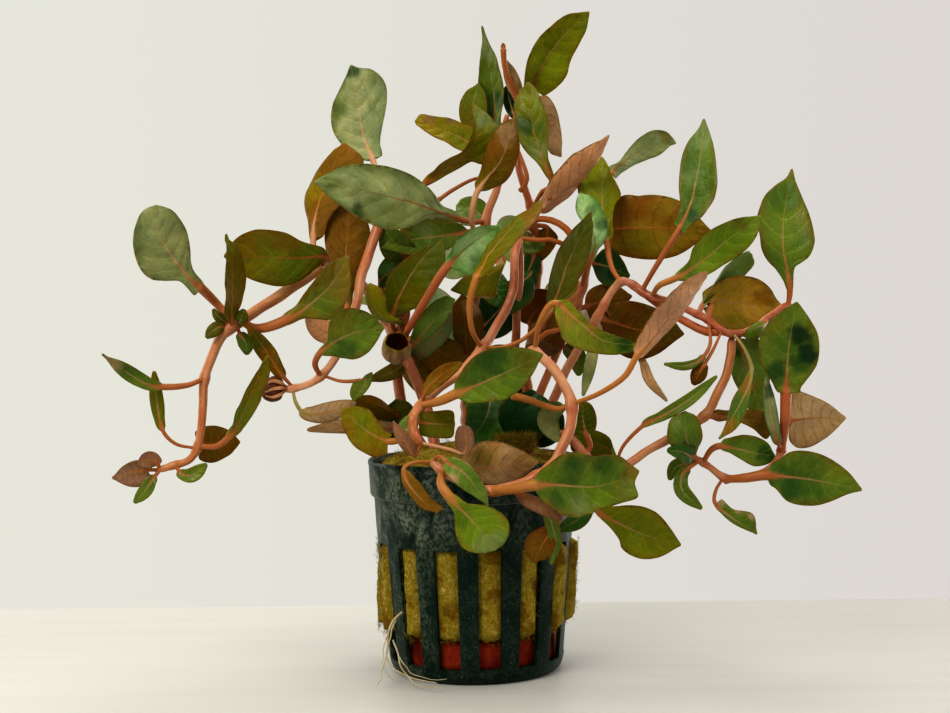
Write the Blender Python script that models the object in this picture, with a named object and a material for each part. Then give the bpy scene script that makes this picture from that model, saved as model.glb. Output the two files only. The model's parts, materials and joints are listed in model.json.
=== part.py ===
# Potted marsh seedbox: pink stems with green and brown leaves, in a black slotted pot of rock wool.
# Metres, +Z up. The origin is the centre of the pot's underside, and the front faces -Y.
import math

import bmesh
import bpy
from mathutils import Matrix, Vector

MM = 0.001

# Pot: a slotted pot 50 mm wide and 50 mm high.
SLOT_COUNT = 14
SLOT_PHASE = 8.7  # degrees from the front to the middle of a slot, towards +X
FLOOR_TOP = 1.4 * MM
SLOT_BOTTOM = 3.5 * MM
SLOT_TOP = 30.8 * MM
WALL_RADIUS = 19 * MM  # faces farther out than this belong to the wall
# (radius, height) in millimetres, up the outside and down the inside.
POT_OUTSIDE = (
    (0, 0), (18.6, 0), (20.2, 0.9), (20.9, 3.5), (23.1, 30.8), (23.7, 41.6), (24.5, 41.8), (25, 50))
POT_INSIDE = ((23.8, 50), (23, 42), (22, 30.8), (19.8, 3.5), (18.9, 1.4), (0, 1.4))

# Filling: rock wool over a clay ring.
TOUCH_GAP = 0.35 * MM
NODE_GAP = 0.55 * MM
WOOL_BOTTOM = 10.3 * MM
WOOL_FOOT_RADIUS = 20.15 * MM
WOOL_FOOT_BEVEL = 1 * MM
WOOL_SLOT_RADIUS = 21.65 * MM  # at the top of the slots
WOOL_NECK = (22.2 * MM, 41 * MM)
WOOL_SHOULDER = (22.6 * MM, 45.5 * MM)
WOOL_CROWN = 53.5 * MM
WOOL_EDGE_RADIUS = 21.4 * MM
WOOL_DROP = 4 * MM  # from the crown to the edge
WOOL_RINGS = 3
CLAY_RADIUS = 19 * MM
CLAY_EDGE = 1.2 * MM
CLAY_HOLE_RADIUS = 7 * MM
CLAY_TOP = 9.9 * MM
FILLING_SIDES = 22

# Leaves and stems are placed as an eye in front of the plant sees them: (across, down, nearer).
# Across and down are pixels of a picture 950 wide, and nearer is how many millimetres
# the point stands closer to the eye than the pot's axis does.
EYE_DISTANCE = 365 * MM
EYE = Vector((0.8 * MM, -EYE_DISTANCE, 84 * MM))
EYE_PITCH = math.radians(1.6)
EYE_ROLL = math.radians(1.0)
PICTURE_MIDDLE = (475, 356.5)
PIXELS_PER_TANGENT = 1540

# Sections of a blade, as shares of its length.
BLADE = (0, 0.13, 0.36, 0.63, 0.87, 1)
SPRIG_BLADE = (0, 0.28, 0.6, 0.86, 1)
# How pointed a blade is at its base and at its tip: 0.5 is round as an ellipse, 1 a straight wedge.
USUAL_BASE = 0.65
USUAL_TIP = 0.7
STALK_WIDTH = 1.9 * MM
FOOT_SHARE = 0.75
SPRIG_STALK_WIDTH = 1.3 * MM
SPRIG_STALK_SHARE = 0.2
BLADE_THICKNESS = 0.9 * MM
SPRIG_THICKNESS = 0.8 * MM
LEAF_SIDES = 6
SPRIG_SIDES = 4
STEM_SIDES = 6
STEM_STEP = 9.5 * MM
STALK_STEP = 12 * MM

COLOURS = {
    "plastic": ((0.016, 0.02, 0.019), 0.45),
    "wool": ((0.36, 0.25, 0.06), 0.95),
    "clay": ((0.25, 0.06, 0.035), 0.85),
    "root": ((0.62, 0.55, 0.42), 0.7),
    "stem": ((0.56, 0.17, 0.1), 0.4),
    "green": ((0.07, 0.16, 0.02), 0.4),
    "olive": ((0.17, 0.17, 0.02), 0.42),
    "grey_green": ((0.13, 0.22, 0.08), 0.42),
    "brown": ((0.24, 0.11, 0.03), 0.45),
    "pink_brown": ((0.36, 0.17, 0.1), 0.45),
}

# Each stem: the places it passes from the wool to its tip, and its width at both ends in millimetres.
STEMS = {
    "stem_left_long": dict(wide=(2.6, 1.7), path=(
        (436, 452, 4), (424, 400, -1), (400, 345, -4), (368, 292, -12), (350, 275, -13),
        (336, 264, -9), (325, 264, -3), (313, 273, 4),
        (297, 284, 8), (267, 304, 11), (240, 320, 13), (228, 330, 13.5), (216, 347, 14), (206, 371, 15),
        (203, 405, 15), (198, 446, 14), (189, 460, 14), (173, 466, 14), (158, 470, 14))),
    "stem_left_short": dict(wide=(2.6, 1.6), path=(
        (424, 450, -8), (406, 420, -13), (398, 375, -15), (403, 320, -15), (408, 260, -12), (402, 212, -8),
        (390, 203, -5), (381, 218, -3), (371, 248, -1), (362, 275, 2), (357, 300, 5), (348, 330, 8),
        (337, 356, 10), (322, 375, 12), (309, 384, 14), (293, 388, 15), (283, 389, 15))),
    "stem_middle": dict(wide=(2.6, 2.1), path=(
        (500, 450, -4), (508, 400, -10), (516, 340, -14), (524, 285, -12), (524, 250, -7), (517, 241, -1),
        (515, 262, 4), (513, 290, 9), (505, 311, 13), (492, 334, 17), (485, 345, 19), (462, 371, 23),
        (440, 388, 25), (421, 405, 27), (413, 418, 29), (414, 434, 30), (420, 445, 31))),
    "stem_front_loop": dict(wide=(2.5, 1.8), path=(
        (512, 452, 6), (524, 425, 8), (528, 392, 12), (524, 364, 18), (531, 351, 23), (545, 360, 27),
        (560, 377, 30), (571, 403, 31), (571, 425, 32), (563, 445, 33), (550, 467, 34), (530, 480, 35),
        (510, 487, 35), (493, 491, 35), (470, 486, 34), (447, 475, 33), (432, 461, 32))),
    "stem_upper_left": dict(wide=(2.6, 1.6), path=(
        (470, 448, -6), (466, 400, -14), (470, 340, -20), (478, 280, -16), (483, 235, -12), (488, 212, -11),
        (497, 188, -11), (500, 165, -12), (503, 140, -13), (507, 115, -13))),
    "stem_top": dict(wide=(2.5, 1.5), path=(
        (505, 448, -12), (520, 400, -24), (532, 330, -28), (538, 270, -24), (534, 225, -18), (526, 190, -15),
        (518, 166, -15), (516, 140, -17), (520, 112, -17), (526, 97, -17))),
    "stem_centre_right": dict(wide=(2.4, 1.6), path=(
        (516, 449, -8), (535, 405, -12), (560, 345, -10), (577, 305, -6), (583, 285, -4), (588, 262, -4),
        (589, 240, -6), (586, 222, -8))),
    "stem_right_long": dict(wide=(2.6, 1.7), path=(
        (526, 450, -2), (548, 410, 0), (572, 360, 4), (590, 330, 8), (600, 312, 10), (613, 290, 11),
        (624, 281, 12), (645, 293, 14), (670, 302, 16), (700, 316, 17), (724, 331, 18), (745, 332, 15),
        (768, 318, 11), (786, 306, 8), (795, 318, 5), (793, 350, 6), (788, 390, 9), (784, 425, 11),
        (781, 452, 13), (767, 470, 15), (742, 477, 17), (725, 479, 18), (710, 467, 19), (695, 458, 20))),
    "stem_right_low": dict(wide=(2.4, 1.6), path=(
        (528, 450, 9), (550, 434, 12), (572, 440, 17), (590, 462, 21), (606, 476, 24), (629, 463, 25),
        (650, 449, 25), (672, 437, 25), (701, 415, 24), (712, 395, 22), (721, 376, 19), (727, 356, 16),
        (728, 345, 14))),
}

# Each leaf: the stem it grows from, the stalk's share of its length, the blade's width in millimetres,
# its turn about its middle line in degrees, how far its edges rise (share of the half width, towards
# the eye), its colour, how pointed its base and tip are, and its middle line from foot to tip.
LEAVES = {
    "leaf_left_1": dict(on="stem_left_long", stalk=0.42, wide=13.2, roll=10, cup=0.15, colour="grey_green",
        base=0.75, tip=0.45, path=(
        (232, 322, 12), (218, 305, 12), (201, 288, 15), (186, 276, 17), (168, 251, 20), (154, 229, 23),
        (147, 208, 24))),
    "leaf_left_2": dict(on="stem_left_long", stalk=0.08, wide=13.6, roll=10, cup=0.12, colour="olive",
        base=0.6, tip=0.65, path=(
        (320, 267, 1), (316, 258, 8), (298, 257, 12), (262, 256, 15), (222, 256, 17))),
    "leaf_left_3": dict(on="stem_left_long", stalk=0.2, wide=11, roll=-64, cup=0.3, colour="olive",
        path=(
        (236, 321, 16), (230, 300, 21), (231, 270, 25), (227, 234, 28))),
    "leaf_left_4": dict(on="stem_left_long", stalk=0.48, wide=12, roll=-10, cup=0.2, colour="green",
        path=(
        (244, 321, 15), (254, 328, 18), (268, 327, 20), (290, 318, 20), (308, 306, 20), (330, 286, 17),
        (349, 262, 13))),
    "leaf_left_5": dict(on="stem_left_short", stalk=0.12, wide=11.5, roll=-10, cup=-0.1, colour="brown",
        base=0.8, tip=0.7, path=(
        (347, 325, 6), (345, 300, 3), (347, 270, 1), (350, 235, -4), (354, 195, -9))),
    "leaf_left_6": dict(on="stem_left_long", stalk=0.15, wide=12.5, roll=30, cup=-0.15, colour="brown",
        path=(
        (322, 268, 3), (314, 246, 0), (321, 208, -6), (334, 178, -10), (352, 148, -13))),
    "leaf_left_7": dict(on="stem_upper_left", stalk=0.28, wide=14.8, roll=12, cup=0.15, colour="grey_green",
        base=0.6, tip=0.6, path=(
        (485, 221, -9), (463, 221, -4), (437, 213, 4), (400, 200, 12), (355, 187, 19), (315, 183, 23))),
    "leaf_left_8": dict(on="stem_left_short", stalk=0.36, wide=14.2, roll=-5, cup=0.12, colour="grey_green",
        base=0.5, tip=0.6, path=(
        (388, 204, -7), (382, 185, -11), (373, 159, -16), (366, 134, -20), (358, 103, -23),
        (351, 66, -25))),
    "leaf_left_9": dict(on="stem_left_short", stalk=0.25, wide=12, roll=-12, cup=0.15, colour="green",
        base=0.5, tip=0.65, path=(
        (321, 374, 13), (315, 364, 16), (320, 353, 18), (335, 341, 20), (356, 332, 21), (384, 328, 20))),
    "leaf_left_10": dict(on="stem_left_long", stalk=0.3, wide=9.5, roll=-50, cup=0.3, colour="green",
        path=(
        (200, 446, 14), (217, 446, 16), (231, 436, 18), (243, 408, 20), (255, 380, 21), (268, 355, 22))),
    "leaf_left_11": dict(on="stem_left_long", stalk=0.45, wide=8.4, roll=60, cup=0.3, colour="green",
        path=(
        (203, 378, 16), (188, 385, 18), (165, 387, 20), (148, 383, 21.5), (126, 371, 24), (101, 354, 28))),
    "leaf_left_12": dict(on="stem_left_long", stalk=0.1, wide=9.8, roll=-10, cup=-0.15, colour="brown",
        base=0.3, tip=0.5, path=(
        (198, 447, 12), (207, 445, 9.5), (222, 443, 7), (240, 442, 5))),
    "leaf_top_1": dict(on="stem_upper_left", stalk=0.18, wide=11, roll=45, cup=0.2, colour="olive",
        base=0.7, tip=0.4, path=(
        (500, 146, -14), (480, 142, -15), (450, 131, -14), (416, 120, -12))),
    "leaf_top_2": dict(on="stem_upper_left", stalk=0.3, wide=12, roll=48, cup=0.25, colour="green",
        base=0.6, tip=0.8, path=(
        (499, 182, -13), (502, 160, -19), (503, 140, -22), (496, 95, -22), (482, 26, -16))),
    "leaf_top_3": dict(on="stem_left_short", stalk=0.25, wide=11, roll=-30, cup=0.2, colour="olive",
        base=0.8, tip=0.6, path=(
        (403, 205, -8), (412, 196, -7), (424, 184, -6), (452, 165, -4), (474, 142, -3), (486, 108, -4))),
    "leaf_top_4": dict(on="stem_upper_left", stalk=0.35, wide=11.4, roll=-28, cup=-0.15, colour="brown",
        base=0.6, tip=0.7, path=(
        (483, 241, -10), (474, 228, 0), (472, 212, 3), (480, 190, 3), (498, 157, 1), (516, 118, -1))),
    "leaf_top_5": dict(on="stem_top", stalk=0.1, wide=12, roll=-10, cup=0.12, colour="olive",
        base=0.6, tip=0.7, path=(
        (527, 97, -17), (531, 88, -16), (542, 66, -13), (562, 38, -10), (589, 12, -6))),
    "leaf_top_6": dict(on="stem_top", stalk=0.25, wide=10.5, roll=35, cup=0.2, colour="green",
        path=(
        (534, 210, -14), (546, 201, -10), (551, 184, -7), (542, 160, -6), (534, 130, -7), (528, 88, -9))),
    "leaf_top_7": dict(on="stem_top", stalk=0.12, wide=10, roll=-52, cup=-0.2, colour="pink_brown",
        base=0.8, tip=0.8, path=(
        (535, 219, -15), (545, 210, -9), (560, 192, -5), (583, 163, -2), (608, 136, 0))),
    "leaf_top_8": dict(on="stem_centre_right", stalk=0.38, wide=9.6, roll=-30, cup=0.15, colour="grey_green",
        base=0.9, tip=0.45, path=(
        (586, 225, -8), (598, 198, -14), (611, 176, -18), (630, 158, -21), (650, 146, -24),
        (675, 143, -26))),
    "leaf_top_9": dict(on="stem_right_long", stalk=0.3, wide=12.2, roll=15, cup=0.2, colour="olive",
        base=0.6, tip=0.6, path=(
        (620, 281, 12), (612, 268, 9), (606, 243, 2.5), (601, 200, -5), (603, 157, -10))),
    "leaf_top_10": dict(on="stem_centre_right", stalk=0.28, wide=11, roll=-38, cup=0.35, colour="grey_green",
        base=0.7, tip=0.6, path=(
        (583, 290, -1), (588, 268, 4), (591, 245, 7.5), (586, 220, 7.5), (576, 193, 6))),
    "leaf_middle_1": dict(on="stem_middle", stalk=0.42, wide=9, roll=60, cup=-0.2, colour="brown",
        path=(
        (483, 344, 21), (472, 330, 24), (470, 300, 26), (480, 270, 26), (505, 235, 22), (541, 201, 15))),
    "leaf_middle_2": dict(on="stem_left_long", stalk=0.62, wide=10.5, roll=-25, cup=0.2, colour="grey_green",
        base=0.6, tip=0.5, path=(
        (400, 347, -3), (404, 337, 4), (415, 318, 8), (428, 296, 12), (446, 268, 15), (470, 245, 16),
        (497, 226, 15))),
    "leaf_middle_3": dict(on="stem_left_long", stalk=0.12, wide=11.5, roll=20, cup=0.15, colour="olive",
        path=(
        (393, 336, -3), (392, 320, 2), (400, 295, 5), (420, 262, 7), (443, 239, 7))),
    "leaf_middle_4": dict(on="stem_middle", stalk=0.3, wide=12.2, roll=-10, cup=0.2, colour="green",
        path=(
        (424, 404, 29), (440, 401, 31.5), (462, 391, 33), (500, 375, 35), (543, 354, 35))),
    "leaf_middle_5": dict(on="stem_middle", stalk=0.35, wide=12, roll=-40, cup=0.2, colour="olive",
        base=0.7, tip=0.7, path=(
        (487, 344, 21), (503, 347, 23), (525, 338, 24), (545, 312, 23), (568, 262, 18), (591, 211, 13))),
    "leaf_middle_6": dict(on="stem_upper_left", stalk=0.3, wide=12.5, roll=5, cup=0.15, colour="green",
        base=0.45, tip=0.6, path=(
        (468, 396, -10), (482, 392, 0), (490, 402, 7), (484, 422, 12), (468, 443, 16))),
    "leaf_front_1": dict(on="stem_front_loop", stalk=0.12, wide=15.4, roll=-10, cup=0.12, colour="green",
        base=0.6, tip=0.45, path=(
        (497, 490, 37), (515, 487, 39), (545, 484, 41), (585, 483, 41), (639, 479, 38))),
    "leaf_front_2": dict(on="stem_front_loop", stalk=0.3, wide=12.4, roll=-10, cup=0.15, colour="green",
        base=0.6, tip=0.45, path=(
        (440, 477, 35), (442, 487, 37), (449, 501, 39), (466, 520, 39.5), (484, 535, 39), (503, 546, 38))),
    "leaf_front_3": dict(on="stem_middle", stalk=0.25, wide=11, roll=12, cup=0.15, colour="olive",
        base=0.6, tip=0.5, path=(
        (410, 434, 29), (398, 440, 28), (385, 441, 27), (366, 430, 26), (343, 408, 25))),
    "leaf_front_4": dict(on="stem_front_loop", stalk=0.12, wide=10, roll=-8, cup=-0.15, colour="pink_brown",
        path=(
        (449, 471, 31), (462, 470, 29), (490, 466, 28.5), (538, 462, 28))),
    "leaf_front_5": dict(on="stem_right_low", stalk=0.28, wide=12.4, roll=-10, cup=0.12, colour="olive",
        base=0.55, tip=0.6, path=(
        (602, 484, 27), (596, 497, 27.5), (599, 509, 28), (618, 523, 29), (648, 536, 30), (681, 545, 30))),
    "leaf_front_6": dict(on="stem_right_low", stalk=0.15, wide=9.8, roll=10, cup=0.15, colour="olive",
        path=(
        (586, 456, 20), (596, 448, 19), (598, 430, 18), (580, 400, 18))),
    "leaf_right_1": dict(on="stem_centre_right", stalk=0.08, wide=16.6, roll=-5, cup=-0.1, colour="brown",
        base=0.45, tip=0.6, path=(
        (592, 240, -6), (600, 236, -7), (615, 231, -8), (650, 227, -6), (685, 227, -3), (710, 230, 1))),
    "leaf_right_2": dict(on="stem_right_long", stalk=0.4, wide=11.2, roll=25, cup=0.15, colour="green",
        base=0.5, tip=0.8, path=(
        (642, 291, 14), (655, 268, 17), (670, 246, 18.5), (682, 231, 19), (694, 200, 18.5), (701, 160, 17),
        (704, 119, 13))),
    "leaf_right_3": dict(on="stem_right_long", stalk=0.2, wide=12.4, roll=-22, cup=0.15, colour="green",
        base=0.7, tip=0.6, path=(
        (656, 297, 16), (668, 288, 20), (684, 277, 20), (712, 255, 18), (735, 232, 17), (758, 214, 15))),
    "leaf_right_4": dict(on="stem_right_long", stalk=0.22, wide=14, roll=0, cup=0.05, colour="olive",
        base=0.4, tip=0.55, path=(
        (712, 321, 13), (713, 309, 6), (720, 301, 0), (735, 302, -3), (755, 304, -5), (779, 306, -6))),
    "leaf_right_5": dict(on="stem_right_long", stalk=0.24, wide=14.6, roll=8, cup=0.1, colour="green",
        base=0.45, tip=0.95, path=(
        (791, 303, 7), (792, 290, 8), (790, 276, 9), (786, 246, 9), (787, 215, 7), (792, 169, 4))),
    "leaf_right_6": dict(on="stem_right_long", stalk=0.42, wide=14.8, roll=-8, cup=0.15, colour="green",
        base=0.5, tip=0.7, path=(
        (783, 447, 16), (785, 420, 17), (787, 393, 18), (788, 372, 20), (789, 340, 22), (796, 303, 24))),
    "leaf_right_7": dict(on="stem_front_loop", stalk=0.45, wide=8.4, roll=-52, cup=-0.2, colour="pink_brown",
        path=(
        (574, 402, 33), (600, 393, 36), (625, 376, 38), (637, 356, 38), (668, 318, 36), (707, 272, 32))),
    "leaf_right_8": dict(on="stem_right_long", stalk=0.1, wide=14.4, roll=-5, cup=-0.1, colour="brown",
        base=0.5, tip=0.6, path=(
        (602, 316, 8), (612, 322, 4), (640, 330, 2), (680, 336, 0))),
    "leaf_right_9": dict(on="stem_front_loop", stalk=0.3, wide=10.8, roll=20, cup=0.12, colour="green",
        base=0.6, tip=0.7, path=(
        (533, 347, 25), (540, 322, 28), (554, 306, 29), (575, 320, 29), (605, 340, 28), (643, 346, 26))),
    "leaf_right_10": dict(on="stem_right_low", stalk=0.25, wide=10.5, roll=-20, cup=0.2, colour="green",
        path=(
        (704, 414, 25), (718, 413, 22), (745, 410, 18), (772, 400, 16))),
    "leaf_right_11": dict(on="stem_right_long", stalk=0.08, wide=15, roll=-5, cup=-0.08, colour="pink_brown",
        base=0.3, tip=0.75, path=(
        (787, 424, 9), (795, 420, 7), (815, 418, 5), (845, 418, 3))),
    "leaf_right_12": dict(on="stem_right_long", stalk=0.32, wide=13.2, roll=-10, cup=0.12, colour="green",
        base=0.5, tip=0.75, path=(
        (728, 479, 20), (745, 478, 21), (768, 474, 22), (790, 477, 22.5), (820, 480, 23.5),
        (861, 489, 25))),
    "leaf_right_13": dict(on="stem_right_long", stalk=0.3, wide=8, roll=-15, cup=0.15, colour="green",
        path=(
        (705, 460, 20), (713, 448, 22), (721, 444, 23), (740, 449, 23), (756, 457, 22), (772, 463, 21))),
}

# Small leaves and buds, fused to the stem that they grow from, in the same terms.
SPRIGS = {
    "stem_left_long": (
        dict(wide=5.6, roll=0, cup=0.2, colour="pink_brown",
             path=((158, 470, 14), (145, 468, 14), (130, 472, 14), (112, 477, 14))),
        dict(wide=3.2, roll=0, cup=0.2, colour="grey_green",
             path=((160, 470, 14), (152, 480, 15), (145, 491, 16), (134, 503, 16))),
        dict(wide=3.4, roll=0, cup=0.2, colour="grey_green",
             path=((175, 465, 14), (182, 474, 16), (192, 475, 16), (207, 464, 16))),
        dict(wide=3.4, roll=0, cup=-0.2, colour="olive",
             path=((196, 448, 14), (171, 441, 16), (162, 432, 17), (155, 402, 18), (156, 371, 19))),
        dict(wide=3.6, roll=0, cup=0.3, colour="green",
             path=((233, 326, 13), (240, 334, 13), (246, 344, 13), (246, 355, 13))),
        dict(wide=2.6, roll=0, cup=0.3, colour="green",
             path=((228, 330, 13.5), (219, 329, 15), (213, 333, 16), (206, 338, 16))),
        dict(wide=9, roll=10, cup=0.2, colour="green",
             path=((404, 354, -6), (415, 343, 0), (430, 325, 4), (455, 299, 5))),
        dict(wide=5.2, roll=0, cup=0.4, colour="brown",
             path=((405, 357, -3), (402, 366, 2), (394, 362, 4), (388, 350, 5), (389, 337, 5))),
    ),
    "stem_left_short": (
        dict(wide=6, roll=0, cup=0.4, colour="brown",
             path=((284, 389, 15), (279, 386, 15), (272, 388, 15), (262, 394, 15))),
        dict(wide=4.4, roll=20, cup=0.2, colour="green",
             path=((294, 388, 15), (284, 376, 17), (268, 354, 19), (250, 328, 21))),
        dict(wide=4.6, roll=0, cup=-0.2, colour="pink_brown",
             path=((293, 388, 15), (297, 407, 17), (318, 417, 17), (358, 402, 13))),
        dict(wide=4.5, roll=0, cup=0.1, colour="green",
             path=((322, 375, 12), (345, 381, 14), (363, 378, 15), (361, 388, 15), (354, 401, 15))),
        dict(wide=8, roll=15, cup=0.2, colour="green",
             path=((408, 262, -11), (401, 252, -5), (392, 240, -3), (383, 226, -3))),
        dict(wide=9, roll=0, cup=-0.2, colour="brown",
             path=((404, 330, -12), (410, 345, -12), (424, 368, -11), (430, 394, -9))),
        dict(wide=11, roll=-30, cup=0.2, colour="green",
             path=((404, 318, -12), (396, 310, -20), (382, 298, -30), (368, 292, -38))),
        dict(wide=8.5, roll=0, cup=0.2, colour="green",
             path=((404, 416, -13), (403, 429, -10), (396, 424, -8), (384, 404, -7))),
        dict(wide=9, roll=0, cup=0.2, colour="green",
             path=((403, 300, -13), (396, 290, -10), (386, 272, -9), (374, 250, -9))),
        dict(wide=5.5, roll=0, cup=-0.1, colour="pink_brown",
             path=((345, 338, 9), (336, 336, 5), (322, 330, 4), (306, 317, 4))),
        dict(wide=4, roll=0, cup=0.2, colour="green",
             path=((397, 370, -15), (401, 364, -9), (388, 370, -3), (371, 378, 1))),
        dict(wide=4, roll=0, cup=-0.1, colour="pink_brown",
             path=((409, 426, -13), (385, 428, 0), (345, 424, 7), (307, 430, 9))),
    ),
    "stem_middle": (
        dict(wide=4, roll=0, cup=0.2, colour="brown",
             path=((422, 404, 27), (434, 390, 30), (446, 378, 31), (458, 368, 31))),
        dict(wide=3.6, roll=0, cup=0.2, colour="pink_brown",
             path=((416, 440, 31), (410, 438, 33), (403, 431, 34), (394, 423, 34))),
        dict(wide=4.2, roll=0, cup=0.2, colour="pink_brown",
             path=((418, 442, 31), (432, 443, 32), (452, 440, 32), (467, 427, 32))),
        dict(wide=6, roll=0, cup=0.2, colour="olive",
             path=((413, 420, 29), (426, 417, 27), (442, 421, 26), (455, 434, 26))),
        dict(wide=5, roll=0, cup=0.2, colour="green",
             path=((508, 400, -10), (500, 388, -4), (512, 372, 0), (522, 350, 2))),
    ),
    "stem_front_loop": (
        dict(wide=4.6, roll=0, cup=0.3, colour="olive",
             path=((433, 462, 32), (412, 463, 34), (401, 475, 35), (418, 497, 36), (444, 513, 36))),
        dict(wide=5.2, roll=0, cup=0.2, colour="green",
             path=((434, 462, 32), (446, 458, 35), (464, 470, 36.5), (487, 505, 36.5))),
        dict(wide=7, roll=0, cup=-0.3, colour="brown",
             path=((551, 466, 34), (562, 498, 31), (556, 525, 30), (540, 562, 30))),
        dict(wide=2.4, roll=0, cup=0.1, colour="brown",
             path=((571, 404, 31), (548, 406, 28), (530, 400, 26), (508, 390, 24))),
        dict(wide=5, roll=0, cup=0.2, colour="grey_green",
             path=((571, 408, 31), (560, 412, 28), (550, 422, 27), (554, 440, 27))),
    ),
    "stem_upper_left": (
        dict(wide=7, roll=20, cup=0.2, colour="olive",
             path=((503, 140, -13), (490, 130, -18), (475, 113, -21), (478, 82, -22))),
        dict(wide=8.5, roll=0, cup=-0.2, colour="brown",
             path=((470, 358, -19), (462, 345, -12), (462, 320, -8), (466, 292, -6))),
        dict(wide=11, roll=20, cup=0.2, colour="green",
             path=((477, 282, -16), (464, 266, -26), (447, 252, -36), (430, 240, -44))),
        dict(wide=12, roll=20, cup=0.2, colour="green",
             path=((470, 342, -20), (456, 330, -30), (436, 310, -41), (415, 290, -50))),
        dict(wide=6.5, roll=0, cup=0.2, colour="olive",
             path=((485, 226, -12), (478, 214, -16), (468, 203, -18), (456, 203, -19))),
        dict(wide=7.5, roll=0, cup=0.2, colour="green",
             path=((478, 285, -16), (484, 276, -13), (494, 288, -11), (506, 308, -10))),
    ),
    "stem_top": (
        dict(wide=2.2, roll=0, cup=0, colour="pink_brown",
             path=((520, 112, -17), (513, 92, -17), (505, 65, -15), (504, 43, -13))),
        dict(wide=6.5, roll=0, cup=-0.2, colour="brown",
             path=((519, 118, -17), (533, 103, -23), (547, 118, -24), (560, 157, -23))),
        dict(wide=12, roll=-20, cup=0.2, colour="olive",
             path=((533, 328, -28), (546, 318, -38), (560, 300, -48), (575, 275, -56))),
        dict(wide=11.5, roll=20, cup=0.2, colour="green",
             path=((538, 270, -24), (528, 252, -34), (512, 236, -45), (496, 226, -54))),
        dict(wide=5, roll=0, cup=0.2, colour="green",
             path=((535, 235, -19), (530, 243, -12), (536, 247, -9), (546, 243, -8))),
        dict(wide=6, roll=0, cup=0.2, colour="brown",
             path=((534, 225, -18), (549, 231, -18), (545, 248, -19), (526, 266, -20))),
        dict(wide=12, roll=0, cup=0.2, colour="green",
             path=((520, 402, -24), (514, 408, -19), (517, 424, -14), (524, 443, -11))),
    ),
    "stem_centre_right": (
        dict(wide=11, roll=-20, cup=0.2, colour="brown",
             path=((560, 345, -10), (578, 332, -22), (600, 318, -33), (622, 308, -42))),
        dict(wide=4.5, roll=0, cup=0.2, colour="green",
             path=((560, 345, -10), (568, 349, -7), (577, 357, -6), (579, 376, -6))),
        dict(wide=5, roll=0, cup=0.2, colour="brown",
             path=((577, 305, -6), (566, 316, -1), (554, 327, 3), (540, 340, 5))),
    ),
    "stem_right_long": (
        dict(wide=8.8, roll=-30, cup=0.2, colour="green",
             path=((698, 315, 17), (714, 296, 8), (730, 276, 3), (748, 254, 0))),
        dict(wide=8, roll=10, cup=0.2, colour="green",
             path=((733, 333, 17), (739, 350, 22), (745, 385, 25), (742, 434, 27))),
        dict(wide=3.8, roll=0, cup=0.4, colour="brown",
             path=((719, 329, 18), (712, 350, 22), (705, 363, 23), (693, 382, 23))),
        dict(wide=1.6, roll=0, cup=0, colour="green",
             path=((708, 321, 17.5), (703, 345, 22), (688, 365, 24), (663, 358, 25))),
        dict(wide=8, roll=0, cup=0.3, colour="green",
             path=((697, 459, 20), (693, 451, 26), (686, 434, 30), (683, 411, 30))),
        dict(wide=4.2, roll=0, cup=0.2, colour="green",
             path=((696, 458, 20), (688, 455, 25), (680, 452, 28), (667, 447, 29))),
        dict(wide=4.4, roll=0, cup=0.2, colour="green",
             path=((723, 480, 18), (716, 500, 19), (731, 518, 20), (757, 533, 20))),
        dict(wide=3.4, roll=0, cup=0.2, colour="green",
             path=((700, 461, 20), (683, 474, 22), (682, 490, 23), (702, 509, 23))),
        dict(wide=3.4, roll=0, cup=0.2, colour="green",
             path=((697, 459, 20), (688, 463, 18), (676, 467, 17), (669, 480, 17))),
        dict(wide=2.6, roll=0, cup=0, colour="grey_green",
             path=((594, 323, 9), (594, 342, 13), (590, 366, 15), (583, 395, 16))),
        dict(wide=2, roll=0, cup=0, colour="brown",
             path=((598, 317, 10), (618, 340, 15), (636, 364, 18), (663, 400, 20))),
    ),
    "stem_right_low": (
        dict(wide=4, roll=0, cup=0.3, colour="green",
             path=((615, 472, 25), (626, 441, 28), (652, 418, 30), (682, 398, 30), (717, 379, 28))),
        dict(wide=4.6, roll=0, cup=0.2, colour="green",
             path=((594, 467, 21), (588, 492, 23), (579, 518, 24), (557, 531, 24))),
    ),
}

# Roots: places as the eye sees them, the first strand from the slot to the table, the others off it.
ROOT_WIDTH = 0.7 * MM
ROOT_CLEARANCE = 0.1 * MM
ROOT_MAIN = ((402, 612, 14.9), (395, 619, 15.4), (389, 632, 16.5), (388, 645, 17), (386, 657, 17.5),
             (391, 667, 18.5), (406, 676, 20), (420, 680, 21), (436, 683, 22))
ROOT_SIDES = (
    ((386, 657, 17.5), (383, 668, 19), (381, 678, 21), (377, 686, 23)),
    ((398, 672, 19.3), (410, 684, 22), (424, 687, 24), (438, 688, 25)),
)


def seen(across, down, nearer):
    """The point that the eye sees at this place of the picture, at this distance."""
    right = (across - PICTURE_MIDDLE[0]) / PIXELS_PER_TANGENT
    up = (PICTURE_MIDDLE[1] - down) / PIXELS_PER_TANGENT
    level = right * math.cos(EYE_ROLL) + up * math.sin(EYE_ROLL)
    height = up * math.cos(EYE_ROLL) - right * math.sin(EYE_ROLL)
    forward = Vector((0, math.cos(EYE_PITCH), -math.sin(EYE_PITCH)))
    upward = Vector((0, math.sin(EYE_PITCH), math.cos(EYE_PITCH)))
    ray = forward + Vector((1, 0, 0)) * level + upward * height
    return EYE + ray * ((EYE_DISTANCE - nearer * MM) / ray.y)


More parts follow.
